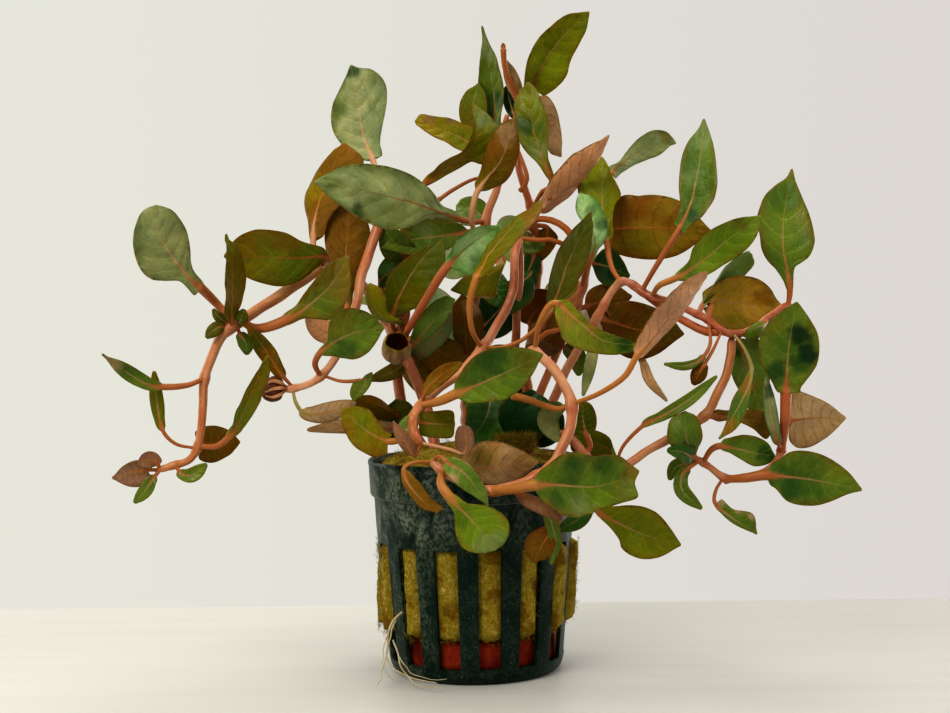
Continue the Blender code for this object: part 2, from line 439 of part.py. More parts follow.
def curve_through(points):
    """A function from a share of the length, 0 to 1, to a point on a smooth curve through the points."""
    knots = [0.0]
    for first, second in zip(points, points[1:]):
        knots.append(knots[-1] + (second - first).length)
    last = len(points) - 1
    slopes = []
    for index in range(last + 1):
        before, after = max(index - 1, 0), min(index + 1, last)
        slopes.append((points[after] - points[before]) / (knots[after] - knots[before]))

    def at(share):
        reach = min(max(share, 0.0), 1.0) * knots[-1]
        index = 0
        while index < last - 1 and knots[index + 1] < reach:
            index += 1
        span = knots[index + 1] - knots[index]
        t = (reach - knots[index]) / span
        start, end = points[index], points[index + 1]
        return (start * (2 * t**3 - 3 * t**2 + 1) + slopes[index] * (span * (t**3 - 2 * t**2 + t))
                + end * (3 * t**2 - 2 * t**3) + slopes[index + 1] * (span * (t**3 - t**2)))

    return at, knots[-1]


def direction(at, share):
    step = 0.01
    return (at(min(share + step, 1)) - at(max(share - step, 0))).normalized()


def swept(name, stations, sides):
    """One closed body through the stations (centre, across, out, half width, half thickness, cup)."""
    mesh = bmesh.new()
    ring = bmesh.ops.create_circle(mesh, cap_ends=False, segments=sides, radius=1)["verts"]
    first_edges = mesh.edges[:]
    edges = first_edges
    for _ in stations[1:]:
        made = bmesh.ops.extrude_edge_only(mesh, edges=edges)["geom"]
        ring = [part for part in made if isinstance(part, bmesh.types.BMVert)]
        made_edges = [part for part in made if isinstance(part, bmesh.types.BMEdge)]
        edges = [edge for edge in made_edges if set(edge.verts) <= set(ring)]
        bmesh.ops.translate(mesh, verts=ring, vec=(0, 0, 1))
    bmesh.ops.contextual_create(mesh, geom=first_edges)
    bmesh.ops.contextual_create(mesh, geom=edges)
    for vertex in mesh.verts:
        centre, across, out, half_width, half_thickness, cup = stations[round(vertex.co.z)]
        side, face = vertex.co.x, vertex.co.y
        rise = cup * half_width * side * side
        vertex.co = centre + across * (half_width * side) + out * (half_thickness * face + rise)
    bmesh.ops.remove_doubles(mesh, verts=mesh.verts, dist=0.02 * MM)
    bmesh.ops.triangulate(mesh, faces=mesh.faces)
    bmesh.ops.recalc_face_normals(mesh, faces=mesh.faces)
    return object_from(name, mesh)


def object_from(name, mesh):
    data = bpy.data.meshes.new(name)
    mesh.to_mesh(data)
    mesh.free()
    data.shade_smooth()
    data.set_sharp_from_angle(angle=math.radians(40))
    part = bpy.data.objects.new(name, data)
    bpy.context.scene.collection.objects.link(part)
    return part


def coloured(part, name):
    """Gives the part a material of its own in one of the named colours."""
    colour, roughness = COLOURS[name]
    material = bpy.data.materials.new(part.name)
    material.use_nodes = True
    shader = material.node_tree.nodes["Principled BSDF"]
    shader.inputs["Base Color"].default_value = (*colour, 1)
    shader.inputs["Roughness"].default_value = roughness
    shader.inputs["Metallic"].default_value = 0
    part.data.materials.append(material)


def wool_height(radius):
    return WOOL_CROWN - WOOL_DROP * (radius / WOOL_EDGE_RADIUS) ** 2


def stem_curve(name):
    """The stem's middle line. It starts just above the wool."""
    points = [seen(*place) for place in STEMS[name]["path"]]
    half_width = STEMS[name]["wide"][0] / 2 * MM
    foot = points[0]
    foot.z = wool_height(math.hypot(foot.x, foot.y)) + TOUCH_GAP + half_width
    return curve_through(points)


def stem_axis(name):
    """The middle line of the faceted stem: a function from a share of its length to a point."""
    at, length = stem_curve(name)
    steps = round(length / STEM_STEP)
    bends = [at(step / steps) for step in range(steps + 1)]

    def on_axis(share):
        place = min(max(share, 0.0), 1.0) * steps
        index = min(int(place), steps - 1)
        return bends[index].lerp(bends[index + 1], place - index)

    return on_axis


def stem_half_width(name, share):
    start, end = STEMS[name]["wide"]
    return (start + (end - start) * share) / 2 * MM


def build_stem(name):
    at, length = stem_curve(name)
    steps = round(length / STEM_STEP)
    stations = []
    for step in range(steps + 1):
        share = step / steps
        along = direction(at, share)
        across = along.cross(Vector((0, -1, 0))).normalized()
        half_width = stem_half_width(name, share)
        stations.append((at(share), across, across.cross(along), half_width, half_width, 0))
    stem = swept(name, stations, STEM_SIDES)
    coloured(stem, "stem")
    return stem


def nearest_on_stem(name, point):
    """The share of the stem's length that is nearest to the point."""
    on_axis = stem_axis(name)
    return min((step / 400 for step in range(401)), key=lambda share: (on_axis(share) - point).length)


def leaf_points(leaf):
    """The leaf's middle line, with its foot beside its stem at the gap that touching pieces keep."""
    points = [seen(*place) for place in leaf["path"]]
    share = nearest_on_stem(leaf["on"], points[0])
    on_axis = stem_axis(leaf["on"])
    node = on_axis(share)
    along = direction(on_axis, share)
    outward = (points[1] - node).normalized()
    slant = abs(outward.dot(along))
    sideways = (outward - along * outward.dot(along)).normalized()
    stand_off = stem_half_width(leaf["on"], share) + NODE_GAP + slant * STALK_WIDTH / 2
    points[0] = node + sideways * stand_off
    return points


def blade_width(share, base, tip):
    """The blade's share of its full width at this share of its length."""
    belly = base / (base + tip)
    return (share / belly) ** base * ((1 - share) / (1 - belly)) ** tip


def leaf_stations(points, leaf, stalk_share, stalk_width, blade, thickness):
    at, length = curve_through(points)
    base, tip = leaf.get("base", USUAL_BASE), leaf.get("tip", USUAL_TIP)
    stalk_steps = max(1, math.ceil(stalk_share * length / STALK_STEP))
    shares = [(stalk_share * step / stalk_steps, 0) for step in range(stalk_steps)]
    shares += [(stalk_share + (1 - stalk_share) * along, blade_width(along, base, tip)) for along in blade]
    stations = []
    for share, width in shares:
        centre = at(share)
        along = direction(at, share)
        across = along.cross((EYE - centre).normalized()).normalized()
        across = Matrix.Rotation(math.radians(-leaf["roll"]), 3, along) @ across
        out = across.cross(along)
        least_width = stalk_width if share > 0 else FOOT_SHARE * stalk_width
        half_width = max(width * leaf["wide"] * MM, least_width) / 2
        half_thickness = (stalk_width + (thickness - stalk_width) * min(1, 2 * width)) / 2
        if share == 1:
            half_width, half_thickness = 0, 0
        cup = leaf["cup"] * min(1, 2 * width)
        stations.append((centre, across, out, half_width, half_thickness, cup))
    return stations


def build_leaf(name):
    leaf = LEAVES[name]
    stations = leaf_stations(leaf_points(leaf), leaf, leaf["stalk"], STALK_WIDTH, BLADE, BLADE_THICKNESS)
    coloured(swept(name, stations, LEAF_SIDES), leaf["colour"])


def fuse(stem, part):
    """Joins the part to the stem in one solid."""
    part.hide_render = True
    part.display_type = "WIRE"
    union = stem.modifiers.new(part.name, "BOOLEAN")
    union.operation = "UNION"
    union.solver = "EXACT"
    union.object = part
    union.material_mode = "TRANSFER"


def build_sprigs(stem):
    for number, leaf in enumerate(SPRIGS.get(stem.name, ()), 1):
        points = [seen(*place) for place in leaf["path"]]
        points[0] = stem_axis(stem.name)(nearest_on_stem(stem.name, points[0]))
        stations = leaf_stations(
            points, leaf, SPRIG_STALK_SHARE, SPRIG_STALK_WIDTH, SPRIG_BLADE, SPRIG_THICKNESS)
        sprig = swept(f"{stem.name}_sprig_{number}", stations, SPRIG_SIDES)
        coloured(sprig, leaf["colour"])
        fuse(stem, sprig)


def turned(profile, steps):
    """A closed body turned about Z from (radius, height) points in metres."""
    mesh = bmesh.new()
    corners = [mesh.verts.new((radius, 0, height)) for radius, height in profile]
    for first, second in zip(corners, corners[1:]):
        mesh.edges.new((first, second))
    bmesh.ops.spin(mesh, geom=mesh.verts[:] + mesh.edges[:], axis=(0, 0, 1), cent=(0, 0, 0),
                   angle=2 * math.pi, steps=steps, use_merge=True)
    bmesh.ops.remove_doubles(mesh, verts=mesh.verts, dist=0.01 * MM)
    bmesh.ops.recalc_face_normals(mesh, faces=mesh.faces)
    return mesh


def build_pot():
    """Every second column of wall faces is a slot, cut through and lined."""
    columns = 2 * SLOT_COUNT
    profile = [(radius * MM, height * MM) for radius, height in POT_OUTSIDE + POT_INSIDE]
    mesh = turned(profile, columns)
    column_angle = 2 * math.pi / columns
    in_slots = {}
    for face in mesh.faces:
        middle = face.calc_center_median()
        column = math.floor(math.atan2(middle.y, middle.x) % (2 * math.pi) / column_angle)
        is_wall = SLOT_BOTTOM < middle.z < SLOT_TOP and math.hypot(middle.x, middle.y) > WALL_RADIUS
        if is_wall and column % 2 == 0:
            in_slots.setdefault(column, []).append(face)
    rims = [[edge for face in faces for edge in face.edges] for faces in in_slots.values()]
    walls = [face for faces in in_slots.values() for face in faces]
    bmesh.ops.delete(mesh, geom=walls, context="FACES_KEEP_BOUNDARY")
    for edges in rims:
        bmesh.ops.bridge_loops(mesh, edges=list(set(edges)))
    bmesh.ops.recalc_face_normals(mesh, faces=mesh.faces)
    turn = math.radians(SLOT_PHASE - 90) - column_angle / 2
    bmesh.ops.rotate(mesh, verts=mesh.verts, cent=(0, 0, 0), matrix=Matrix.Rotation(turn, 3, "Z"))
    coloured(object_from("pot", mesh), "plastic")


def build_filling():
    """The wool plug and the clay ring under it, both clear of the pot's inner wall."""
    wool = [(0, WOOL_BOTTOM), (WOOL_FOOT_RADIUS - WOOL_FOOT_BEVEL, WOOL_BOTTOM),
            (WOOL_FOOT_RADIUS, WOOL_BOTTOM + WOOL_FOOT_BEVEL), (WOOL_SLOT_RADIUS, SLOT_TOP),
            WOOL_NECK, WOOL_SHOULDER]
    for step in range(WOOL_RINGS + 1):
        radius = WOOL_EDGE_RADIUS * (1 - step / WOOL_RINGS)
        wool.append((radius, wool_height(radius)))
    coloured(object_from("rock_wool", turned(wool, FILLING_SIDES)), "wool")
    clay_bottom = FLOOR_TOP + TOUCH_GAP
    clay = [(CLAY_HOLE_RADIUS, clay_bottom), (CLAY_RADIUS - 2 * CLAY_EDGE, clay_bottom),
            (CLAY_RADIUS, clay_bottom + 2 * CLAY_EDGE), (CLAY_RADIUS, CLAY_TOP - CLAY_EDGE),
            (CLAY_RADIUS - CLAY_EDGE, CLAY_TOP), (CLAY_HOLE_RADIUS, CLAY_TOP),
            (CLAY_HOLE_RADIUS, clay_bottom)]
    coloured(object_from("clay_ring", turned(clay, FILLING_SIDES)), "clay")


def build_root(name, places):
    points = [seen(*place) for place in places]
    for point in points:
        point.z = max(point.z, ROOT_WIDTH / 2 + ROOT_CLEARANCE)
    at, _ = curve_through(points)
    steps = len(points)
    stations = []
    for step in range(steps + 1):
        along = direction(at, step / steps)
        across = along.cross(Vector((0, -1, 0))).normalized()
        half_width = ROOT_WIDTH / 2 * (1 - 0.4 * step / steps)
        stations.append((at(step / steps), across, across.cross(along), half_width, half_width, 0))
    return swept(name, stations, 4)


def build_roots():
    roots = build_root("roots", ROOT_MAIN)
    for number, places in enumerate(ROOT_SIDES, 1):
        fuse(roots, build_root(f"roots_side_{number}", places))
    coloured(roots, "root")


def main():
    for old in list(bpy.data.objects):
        bpy.data.objects.remove(old)
    build_pot()
    build_filling()
    build_roots()
    for name in STEMS:
        build_sprigs(build_stem(name))
    for name in LEAVES:
        build_leaf(name)


main()
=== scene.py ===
# Potted marsh seedbox: the looks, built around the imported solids.
import json
import math
import random

import bmesh
import bpy
from mathutils import Matrix, Vector, noise


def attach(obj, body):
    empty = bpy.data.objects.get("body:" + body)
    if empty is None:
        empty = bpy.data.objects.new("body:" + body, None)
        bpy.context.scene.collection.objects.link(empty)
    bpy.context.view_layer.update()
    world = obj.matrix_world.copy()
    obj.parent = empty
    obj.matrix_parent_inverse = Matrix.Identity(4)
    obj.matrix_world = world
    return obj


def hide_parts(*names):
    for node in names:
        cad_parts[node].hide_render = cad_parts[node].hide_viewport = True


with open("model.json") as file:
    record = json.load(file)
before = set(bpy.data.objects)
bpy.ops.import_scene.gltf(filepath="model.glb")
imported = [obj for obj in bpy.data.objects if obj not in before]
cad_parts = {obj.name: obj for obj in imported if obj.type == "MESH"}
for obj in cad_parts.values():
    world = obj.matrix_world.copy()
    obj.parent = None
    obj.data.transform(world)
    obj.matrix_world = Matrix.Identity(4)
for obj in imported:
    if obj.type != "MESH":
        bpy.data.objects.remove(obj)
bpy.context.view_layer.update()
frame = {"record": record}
mm = 0.001
scene = bpy.context.scene

# The eye that the plant is placed from: picture places are (across, down, millimetres nearer).
eyeDistance = 365  # millimetres in front of the pot's middle
eye = dict(place=Vector((0.8 * mm, -eyeDistance * mm, 84 * mm)), pitch=math.radians(1.6),
           roll=math.radians(1.0), middle=(475, 356.5), perTangent=1540, width=950, sensor=36)
pictureScale = 4.3  # picture units to a millimetre, towards the eye
toEye = Vector((0, 0, 1))  # in picture places

forward = Vector((0, math.cos(eye["pitch"]), -math.sin(eye["pitch"])))
upward = Vector((0, math.sin(eye["pitch"]), math.cos(eye["pitch"])))
eyeRight = Vector((1, 0, 0)) * math.cos(eye["roll"]) - upward * math.sin(eye["roll"])
eyeUp = Vector((1, 0, 0)) * math.sin(eye["roll"]) + upward * math.cos(eye["roll"])


def seen(spot):  # from a picture place to a real one
    ray = forward + eyeRight * ((spot.x - eye["middle"][0]) / eye["perTangent"])
    ray = ray + eyeUp * ((eye["middle"][1] - spot.y) / eye["perTangent"])
    depth = -eye["place"].y - spot.z / pictureScale * mm
    return eye["place"] + ray * (depth / ray.y)


def spotOf(place):
    return Vector((place[0], place[1], place[2] * pictureScale))


def perMm(spot):  # picture units to a millimetre, across, at this place
    return eye["perTangent"] / (eyeDistance - spot.z / pictureScale)


def smoothPath(points):
    knots = [0.0]
    for first, second in zip(points, points[1:]):
        knots.append(knots[-1] + (second - first).length)
    last = len(points) - 1
    slopes = []
    for index in range(last + 1):
        before, after = max(index - 1, 0), min(index + 1, last)
        slopes.append((points[after] - points[before]) / (knots[after] - knots[before]))

    def at(share):
        reach = min(max(share, 0.0), 1.0) * knots[-1]
        index = 0
        while index < last - 1 and knots[index + 1] < reach:
            index += 1
        span = knots[index + 1] - knots[index]
        t = (reach - knots[index]) / span
        start, end = points[index], points[index + 1]
        return (start * (2 * t**3 - 3 * t**2 + 1) + slopes[index] * (span * (t**3 - 2 * t**2 + t))
                + end * (3 * t**2 - 2 * t**3) + slopes[index + 1] * (span * (t**3 - t**2)))

    return at, knots[-1]


def headingOf(at, share):
    return (at(min(share + 0.01, 1)) - at(max(share - 0.01, 0))).normalized()


def innerShare(row, rows):  # the first and the last row lie on the next ones, and close the ends
    return min(max((row - 1) / (rows - 2), 0), 1)


def mix(first, second, amount):
    return first + (second - first) * amount


def ramp(value, low, high):
    t = min(max((value - low) / (high - low), 0.0), 1.0)
    return t * t * (3 - 2 * t)


def bell(value):
    return math.exp(-(value ** 2))


def waver(x, y, z):
    return noise.noise(Vector((x, y, z)))


def grainAt(place, grain):  # noise of several sizes, each given as its scale and its strength
    return sum(noise.noise(place * scale) * strength for scale, strength in grain)


def blend(first, second, amount):
    return tuple(mix(a, b, amount) for a, b in zip(first, second))


seenCurve = dict(grey=0.157, level=0.175, power=0.714, veil=0.006, least=0.0004)


def asSeen(colour):  # takes out the contrast that the view adds, and the light's strength
    levels = (seenCurve["level"] * (channel / seenCurve["grey"]) ** seenCurve["power"] for channel in colour)
    return tuple(max(level - seenCurve["veil"], seenCurve["least"]) for level in levels)


def camelCase(name):
    words = name.split("_")
    return words[0] + "".join(word.capitalize() for word in words[1:])


# Node trees
def newGroup(name, colours, vectors, numbers, outputs=("Color", "Roughness", "Height")):
    group = bpy.data.node_groups.new(name, "ShaderNodeTree")
    for labels, kind in ((colours, "Color"), (vectors, "Vector"), (numbers, "Float")):
        for label in labels:
            socket = group.interface.new_socket(label, in_out="INPUT", socket_type="NodeSocket" + kind)
            if kind == "Float":
                socket.default_value = numbers[label]
    for label in outputs:
        kind = "Color" if label == "Color" else "Float"
        group.interface.new_socket(label, in_out="OUTPUT", socket_type="NodeSocket" + kind)
    return group, group.nodes.new("NodeGroupInput").outputs, group.nodes.new("NodeGroupOutput").inputs


def link(tree, source, target):
    if isinstance(source, bpy.types.NodeSocket):
        tree.links.new(source, target)
    else:
        target.default_value = source


def math2(tree, operation, first, second=0.0, clamp=False):
    node = tree.nodes.new("ShaderNodeMath")
    node.operation = operation
    node.use_clamp = clamp
    link(tree, first, node.inputs[0])
    link(tree, second, node.inputs[1])
    return node.outputs[0]


def times(tree, first, *others):
    for other in others:
        first = math2(tree, "MULTIPLY", first, other)
    return first


def plus(tree, first, *others):
    for other in others:
        first = math2(tree, "ADD", first, other)
    return first


def rampTo(tree, value, low, high, start=0.0, end=1.0):
    node = tree.nodes.new("ShaderNodeMapRange")
    node.interpolation_type = "SMOOTHSTEP"
    for index, number in enumerate((value, low, high, start, end)):
        link(tree, number, node.inputs[index])
    return node.outputs[0]


def mixColour(tree, amount, first, second, how="MIX"):
    node = tree.nodes.new("ShaderNodeMix")
    node.data_type = "RGBA"
    node.blend_type = how
    link(tree, amount, node.inputs["Factor"])
    link(tree, first, node.inputs["A"])
    link(tree, second, node.inputs["B"])
    return node.outputs["Result"]


def tinted(tree, mask, tone, *tint):  # the tone, times a tint where the mask is
    return mixColour(tree, mask, tone, (*tint, 1), "MULTIPLY")


def noiseOf(tree, vector, scale, detail, rough, warp=0.0):
    node = tree.nodes.new("ShaderNodeTexNoise")
    link(tree, vector, node.inputs["Vector"])
    for label, number in (("Scale", scale), ("Detail", detail), ("Roughness", rough), ("Distortion", warp)):
        node.inputs[label].default_value = number
    return node.outputs["Fac"]


def stretched(tree, vector, scale):
    node = tree.nodes.new("ShaderNodeMapping")
    link(tree, vector, node.inputs["Vector"])
    node.inputs["Scale"].default_value = scale
    return node.outputs["Vector"]


def cellsOf(tree, vector, scale):
    node = tree.nodes.new("ShaderNodeTexVoronoi")
    node.feature = "DISTANCE_TO_EDGE"
    link(tree, vector, node.inputs["Vector"])
    node.inputs["Scale"].default_value = scale
    return node.outputs["Distance"]


def partsOf(tree, vector):
    node = tree.nodes.new("ShaderNodeSeparateXYZ")
    link(tree, vector, node.inputs[0])
    return node.outputs


veinPairs = 7


def leafSkinGroup():
    tree, given, result = newGroup("leafSkin", ("Tone", "Rib", "Edge"), ("Place", "Object"), {
        "Face": 1.0, "Vein Pairs": veinPairs, "Vein Strength": 0.5, "Wetness": 0.5})
    along, side, ribDistance = partsOf(tree, given["Place"])
    aside = math2(tree, "ABSOLUTE", side)
    broad = noiseOf(tree, given["Object"], 130, 3, 0.5)
    fine = noiseOf(tree, given["Object"], 760, 5, 0.65)
    speck = noiseOf(tree, given["Object"], 1900, 3, 0.6)
    upper = rampTo(tree, given["Face"], -0.3, 0.3)
    wobble = times(tree, math2(tree, "SUBTRACT", fine, 0.5), 0.5)
    # Veins run from the rib to the margin, leaning towards the tip, and a fine net lies between them
    lean = times(tree, math2(tree, "POWER", aside, 1.35), 1.25)
    phase = plus(tree, math2(tree, "SUBTRACT", times(tree, along, given["Vein Pairs"]), lean), wobble)
    vein = rampTo(tree, math2(tree, "PINGPONG", phase, 0.5), 0.0, 0.13, 1.0, 0.0)
    veinMask = times(tree, vein, rampTo(tree, aside, 0.75, 0.97, 1.0, 0.0), rampTo(tree, along, 0.03, 0.12),
                     given["Vein Strength"])
    net = rampTo(tree, cellsOf(tree, given["Object"], 780), 0.0, 0.22, 1.0, 0.0)
    ribTaper = math2(tree, "POWER", math2(tree, "SUBTRACT", 1.0, along, True), 2.0)
    ribWidth = plus(tree, times(tree, ribTaper, 0.36), 0.08)
    nearRib = math2(tree, "DIVIDE", math2(tree, "ABSOLUTE", ribDistance), ribWidth)
    ribMask = rampTo(tree, nearRib, 0.5, 1.4, 1.0, 0.0)
    ribMask = times(tree, ribMask, rampTo(tree, along, 0.35, 0.97, 1.0, 0.3))
    edgeMask = times(tree, rampTo(tree, plus(tree, aside, wobble), 0.9, 1.02), rampTo(tree, along, 0.03, 0.2))
    # Strokes of light and dark follow the veins
    strokeAt = tree.nodes.new("ShaderNodeCombineXYZ")
    for source, target in zip((phase, times(tree, side, 1.6), times(tree, broad, 3.0)), strokeAt.inputs):
        link(tree, source, target)
    stroke = noiseOf(tree, strokeAt.outputs[0], 3.2, 4, 0.6)
    tone = tinted(tree, rampTo(tree, broad, 0.35, 0.7, 0.0, 0.5), given["Tone"], 1.35, 1.2, 0.9)
    tone = tinted(tree, rampTo(tree, fine, 0.5, 0.75, 0.0, 0.45), tone, 0.62, 0.66, 0.6)
    tone = tinted(tree, rampTo(tree, stroke, 0.5, 0.72, 0.0, 0.55), tone, 1.3, 1.12, 0.9)
    tone = tinted(tree, rampTo(tree, stroke, 0.5, 0.3, 0.0, 0.5), tone, 0.68, 0.8, 0.7)
    tone = tinted(tree, rampTo(tree, speck, 0.62, 0.75, 0.0, 0.3), tone, 1.5, 1.45, 1.5)
    tone = tinted(tree, times(tree, net, 0.16), tone, 0.7, 0.75, 0.7)
    darker, lighter = tinted(tree, 1.0, tone, 0.64, 0.56, 0.5), tinted(tree, 1.0, tone, 1.35, 1.4, 1.25)
    tone = mixColour(tree, veinMask, tone, mixColour(tree, upper, darker, lighter))
    tone = mixColour(tree, times(tree, edgeMask, 0.75), tone, given["Edge"])
    link(tree, mixColour(tree, ribMask, tone, given["Rib"]), result["Color"])
    gloss = plus(tree, rampTo(tree, broad, 0.3, 0.75, 0.5, 0.26), times(tree, given["Wetness"], -0.08))
    link(tree, plus(tree, gloss, times(tree, fine, 0.12)), result["Roughness"])
    link(tree, plus(tree, times(tree, veinMask, -0.9), times(tree, net, -0.3), times(tree, fine, 0.5)),
         result["Height"])
    return tree


def stemSkinGroup():
    tree, given, result = newGroup("stemSkin", ("Tone", "Streak"), ("Place", "Object"), {})
    lines = noiseOf(tree, stretched(tree, given["Place"], (0.22, 2.2, 2.2)), 2.2, 4, 0.6)
    broad = noiseOf(tree, given["Object"], 160, 3, 0.5)
    fine = noiseOf(tree, given["Object"], 900, 4, 0.6)
    # Pale lengthwise streaks: partly the skin's own streaking, partly painted highlight
    tone = mixColour(tree, rampTo(tree, lines, 0.46, 0.72, 0.0, 0.75), given["Tone"], given["Streak"])
    tone = tinted(tree, rampTo(tree, broad, 0.42, 0.7, 0.0, 0.55), tone, 0.85, 0.5, 0.42)
    # Pale fine specks: painted highlights
    tone = tinted(tree, rampTo(tree, fine, 0.55, 0.75, 0.0, 0.5), tone, 1.3, 1.35, 1.4)
    link(tree, tone, result["Color"])
    link(tree, rampTo(tree, fine, 0.3, 0.7, 0.28, 0.48), result["Roughness"])
    link(tree, plus(tree, times(tree, lines, 0.8), times(tree, fine, 0.35)), result["Height"])
    return tree


def fibreGroup():
    tree, given, result = newGroup("matted", ("Base", "Light", "Damp"), ("Object",), {"Scale": 1.0}, (
        "Color", "Height"))
    node = tree.nodes.new("ShaderNodeVectorMath")
    node.operation = "SCALE"
    link(tree, given["Object"], node.inputs[0])
    link(tree, given["Scale"], node.inputs["Scale"])
    place = node.outputs[0]
    threads = noiseOf(tree, stretched(tree, place, (1, 1, 0.7)), 1300, 6, 0.75, 0.8)
    crossed = noiseOf(tree, stretched(tree, place, (0.35, 0.35, 1)), 1300, 5, 0.7, 1.0)
    clumps = noiseOf(tree, place, 210, 4, 0.6)
    tone = mixColour(tree, rampTo(tree, threads, 0.45, 0.7), given["Base"], given["Light"])
    tone = mixColour(tree, rampTo(tree, crossed, 0.52, 0.75, 0.0, 0.6), tone, given["Light"])
    tone = mixColour(tree, rampTo(tree, clumps, 0.48, 0.64, 0.0, 0.85), tone, given["Damp"])
    link(tree, tone, result["Color"])
    link(tree, plus(tree, threads, crossed, clumps), result["Height"])
    return tree


def wornPlasticGroup():
    tree, given, result = newGroup("wornPlastic", ("Base", "Film", "Dust"), ("Object",), {})
    across, _, height = partsOf(tree, given["Object"])
    film = noiseOf(tree, stretched(tree, given["Object"], (1, 1, 0.5)), 190, 6, 0.65, 0.6)
    grime = noiseOf(tree, given["Object"], 1100, 6, 0.75)
    specks = noiseOf(tree, given["Object"], 2600, 2, 0.5)
    rubs = noiseOf(tree, stretched(tree, given["Object"], (1, 1, 0.06)), 1500, 3, 0.6)
    # A film of lime in patches, heavier over the slots; the mask also rises towards the left, making that
    # side paler
    overSlots = plus(tree, times(tree, rampTo(tree, height, 0.029, 0.034), 0.6), 0.4)
    filmMask = times(tree, rampTo(tree, film, 0.38, 0.6), rampTo(tree, grime, 0.4, 0.6, 0.1, 1.0),
                     rampTo(tree, across, -0.016, 0.0, 1.15, 0.4), overSlots)
    tone = mixColour(tree, filmMask, given["Base"], given["Film"])
    # Dust lies in specks and in upright rubs, and a pale line runs along the step under the lip
    fromLip = math2(tree, "ABSOLUTE", math2(tree, "SUBTRACT", height, 0.0414))
    specks = math2(tree, "MAXIMUM", specks, rampTo(tree, fromLip, 0.0, 0.0006, 0.75, 0.0))
    dust = rampTo(tree, specks, 0.66, 0.74, 0.0, 0.5)
    dust = math2(tree, "MAXIMUM", dust, rampTo(tree, rubs, 0.66, 0.8, 0.0, 0.35))
    link(tree, mixColour(tree, dust, tone, given["Dust"]), result["Color"])
    link(tree, plus(tree, rampTo(tree, grime, 0.3, 0.7, 0.26, 0.46), times(tree, filmMask, 0.18)),
         result["Roughness"])
    link(tree, plus(tree, times(tree, grime, 0.6), times(tree, rubs, 0.5)), result["Height"])
    return tree


groups = dict(leaf=leafSkinGroup(), stem=stemSkinGroup(), fibre=fibreGroup(), plastic=wornPlasticGroup())


def newMaterial(name, group, values, attributes, bump, bumpDepth, fixed):
    material = bpy.data.materials.new(name)
    material.use_nodes = True
    tree = material.node_tree
    shader = tree.nodes["Principled BSDF"]
    skin = tree.nodes.new("ShaderNodeGroup")
    skin.node_tree = groups[group]
    coordinates = tree.nodes.new("ShaderNodeTexCoord")
    link(tree, coordinates.outputs["Object"], skin.inputs["Object"])
    for label, attribute, output in attributes:
        reader = tree.nodes.new("ShaderNodeAttribute")
        reader.attribute_name = attribute
        link(tree, reader.outputs[output], skin.inputs[label])
    for label, value in values.items():
        skin.inputs[label].default_value = (*asSeen(value), 1) if isinstance(value, tuple) else value
    link(tree, skin.outputs["Color"], shader.inputs["Base Color"])
    if "Roughness" in skin.outputs:
        link(tree, skin.outputs["Roughness"], shader.inputs["Roughness"])
    relief = tree.nodes.new("ShaderNodeBump")
    relief.inputs["Strength"].default_value = bump
    relief.inputs["Distance"].default_value = bumpDepth * mm
    link(tree, skin.outputs["Height"], relief.inputs["Height"])
    link(tree, relief.outputs["Normal"], shader.inputs["Normal"])
    for label, value in fixed.items():
        shader.inputs[label].default_value = value
    return material


leafReads = (("Tone", "tone", "Color"), ("Place", "place", "Vector"), ("Face", "face", "Fac"),
             ("Rib", "ribTone", "Color"))
leafFinishes = {
    "leaf_green": dict(edge=(0.05, 0.035, 0.003), veins=0.6, wet=0.8, shine=0.22),
    "leaf_grey_green": dict(edge=(0.04, 0.05, 0.01), veins=0.5, wet=0.5, shine=0.26),
    "leaf_olive": dict(edge=(0.055, 0.025, 0.002), veins=0.45, wet=0.6, shine=0.13),
    "leaf_brown": dict(edge=(0.05, 0.012, 0.002), veins=0.5, wet=0.5, shine=0.1),
    "leaf_pink_brown": dict(edge=(0.14, 0.05, 0.02), veins=0.6, wet=0.3, shine=0.12),
}
finishes = {}
for finishName, finish in leafFinishes.items():
    finishes[finishName] = newMaterial(camelCase(finishName), "leaf", {
        "Edge": finish["edge"], "Vein Strength": finish["veins"], "Wetness": finish["wet"]},
        leafReads, 0.5, 0.16, {
            "Subsurface Weight": 0.08, "Subsurface Radius": (1.0, 0.8, 0.1), "Subsurface Scale": 0.0008,
            "Specular IOR Level": finish["shine"]})
# The stem's pale streak colour is partly painted highlight
finishes["stem"] = newMaterial("stem", "stem", {"Streak": (0.72, 0.34, 0.19)}, leafReads[:2], 0.35, 0.12, {
    "Subsurface Weight": 0.15, "Subsurface Radius": (1.0, 0.4, 0.2), "Subsurface Scale": 0.0012,
    "Coat Weight": 0.08, "Coat Roughness": 0.2, "Specular IOR Level": 0.3})
finishes["root"] = newMaterial("root", "fibre", {
    "Base": (0.5, 0.4, 0.2), "Light": (0.72, 0.64, 0.42), "Damp": (0.4, 0.24, 0.1)},
    (), 0.3, 0.06, {"Roughness": 0.55})
finishes["rock_wool"] = newMaterial("rockWool", "fibre", {
    "Base": (0.27, 0.172, 0.007), "Light": (0.6, 0.45, 0.08), "Damp": (0.15, 0.06, 0.002)},
    (), 0.9, 0.5, {"Roughness": 0.9, "Specular IOR Level": 0.1})
finishes["clay"] = newMaterial("clay", "fibre", {
    "Base": (0.2, 0.008, 0.001), "Light": (0.27, 0.03, 0.005), "Damp": (0.07, 0.003, 0.001), "Scale": 0.5},
    (), 0.6, 0.4, {"Roughness": 0.7, "Specular IOR Level": 0.2})
finishes["pot_plastic"] = newMaterial("potPlastic", "plastic", {
    "Base": (0.001, 0.007, 0.004), "Film": (0.115, 0.138, 0.09), "Dust": (0.25, 0.27, 0.19)},
    (), 0.45, 0.14, {"Specular IOR Level": 0.09, "Coat Weight": 0.1, "Coat Roughness": 0.12})
print("materials:", len(finishes))


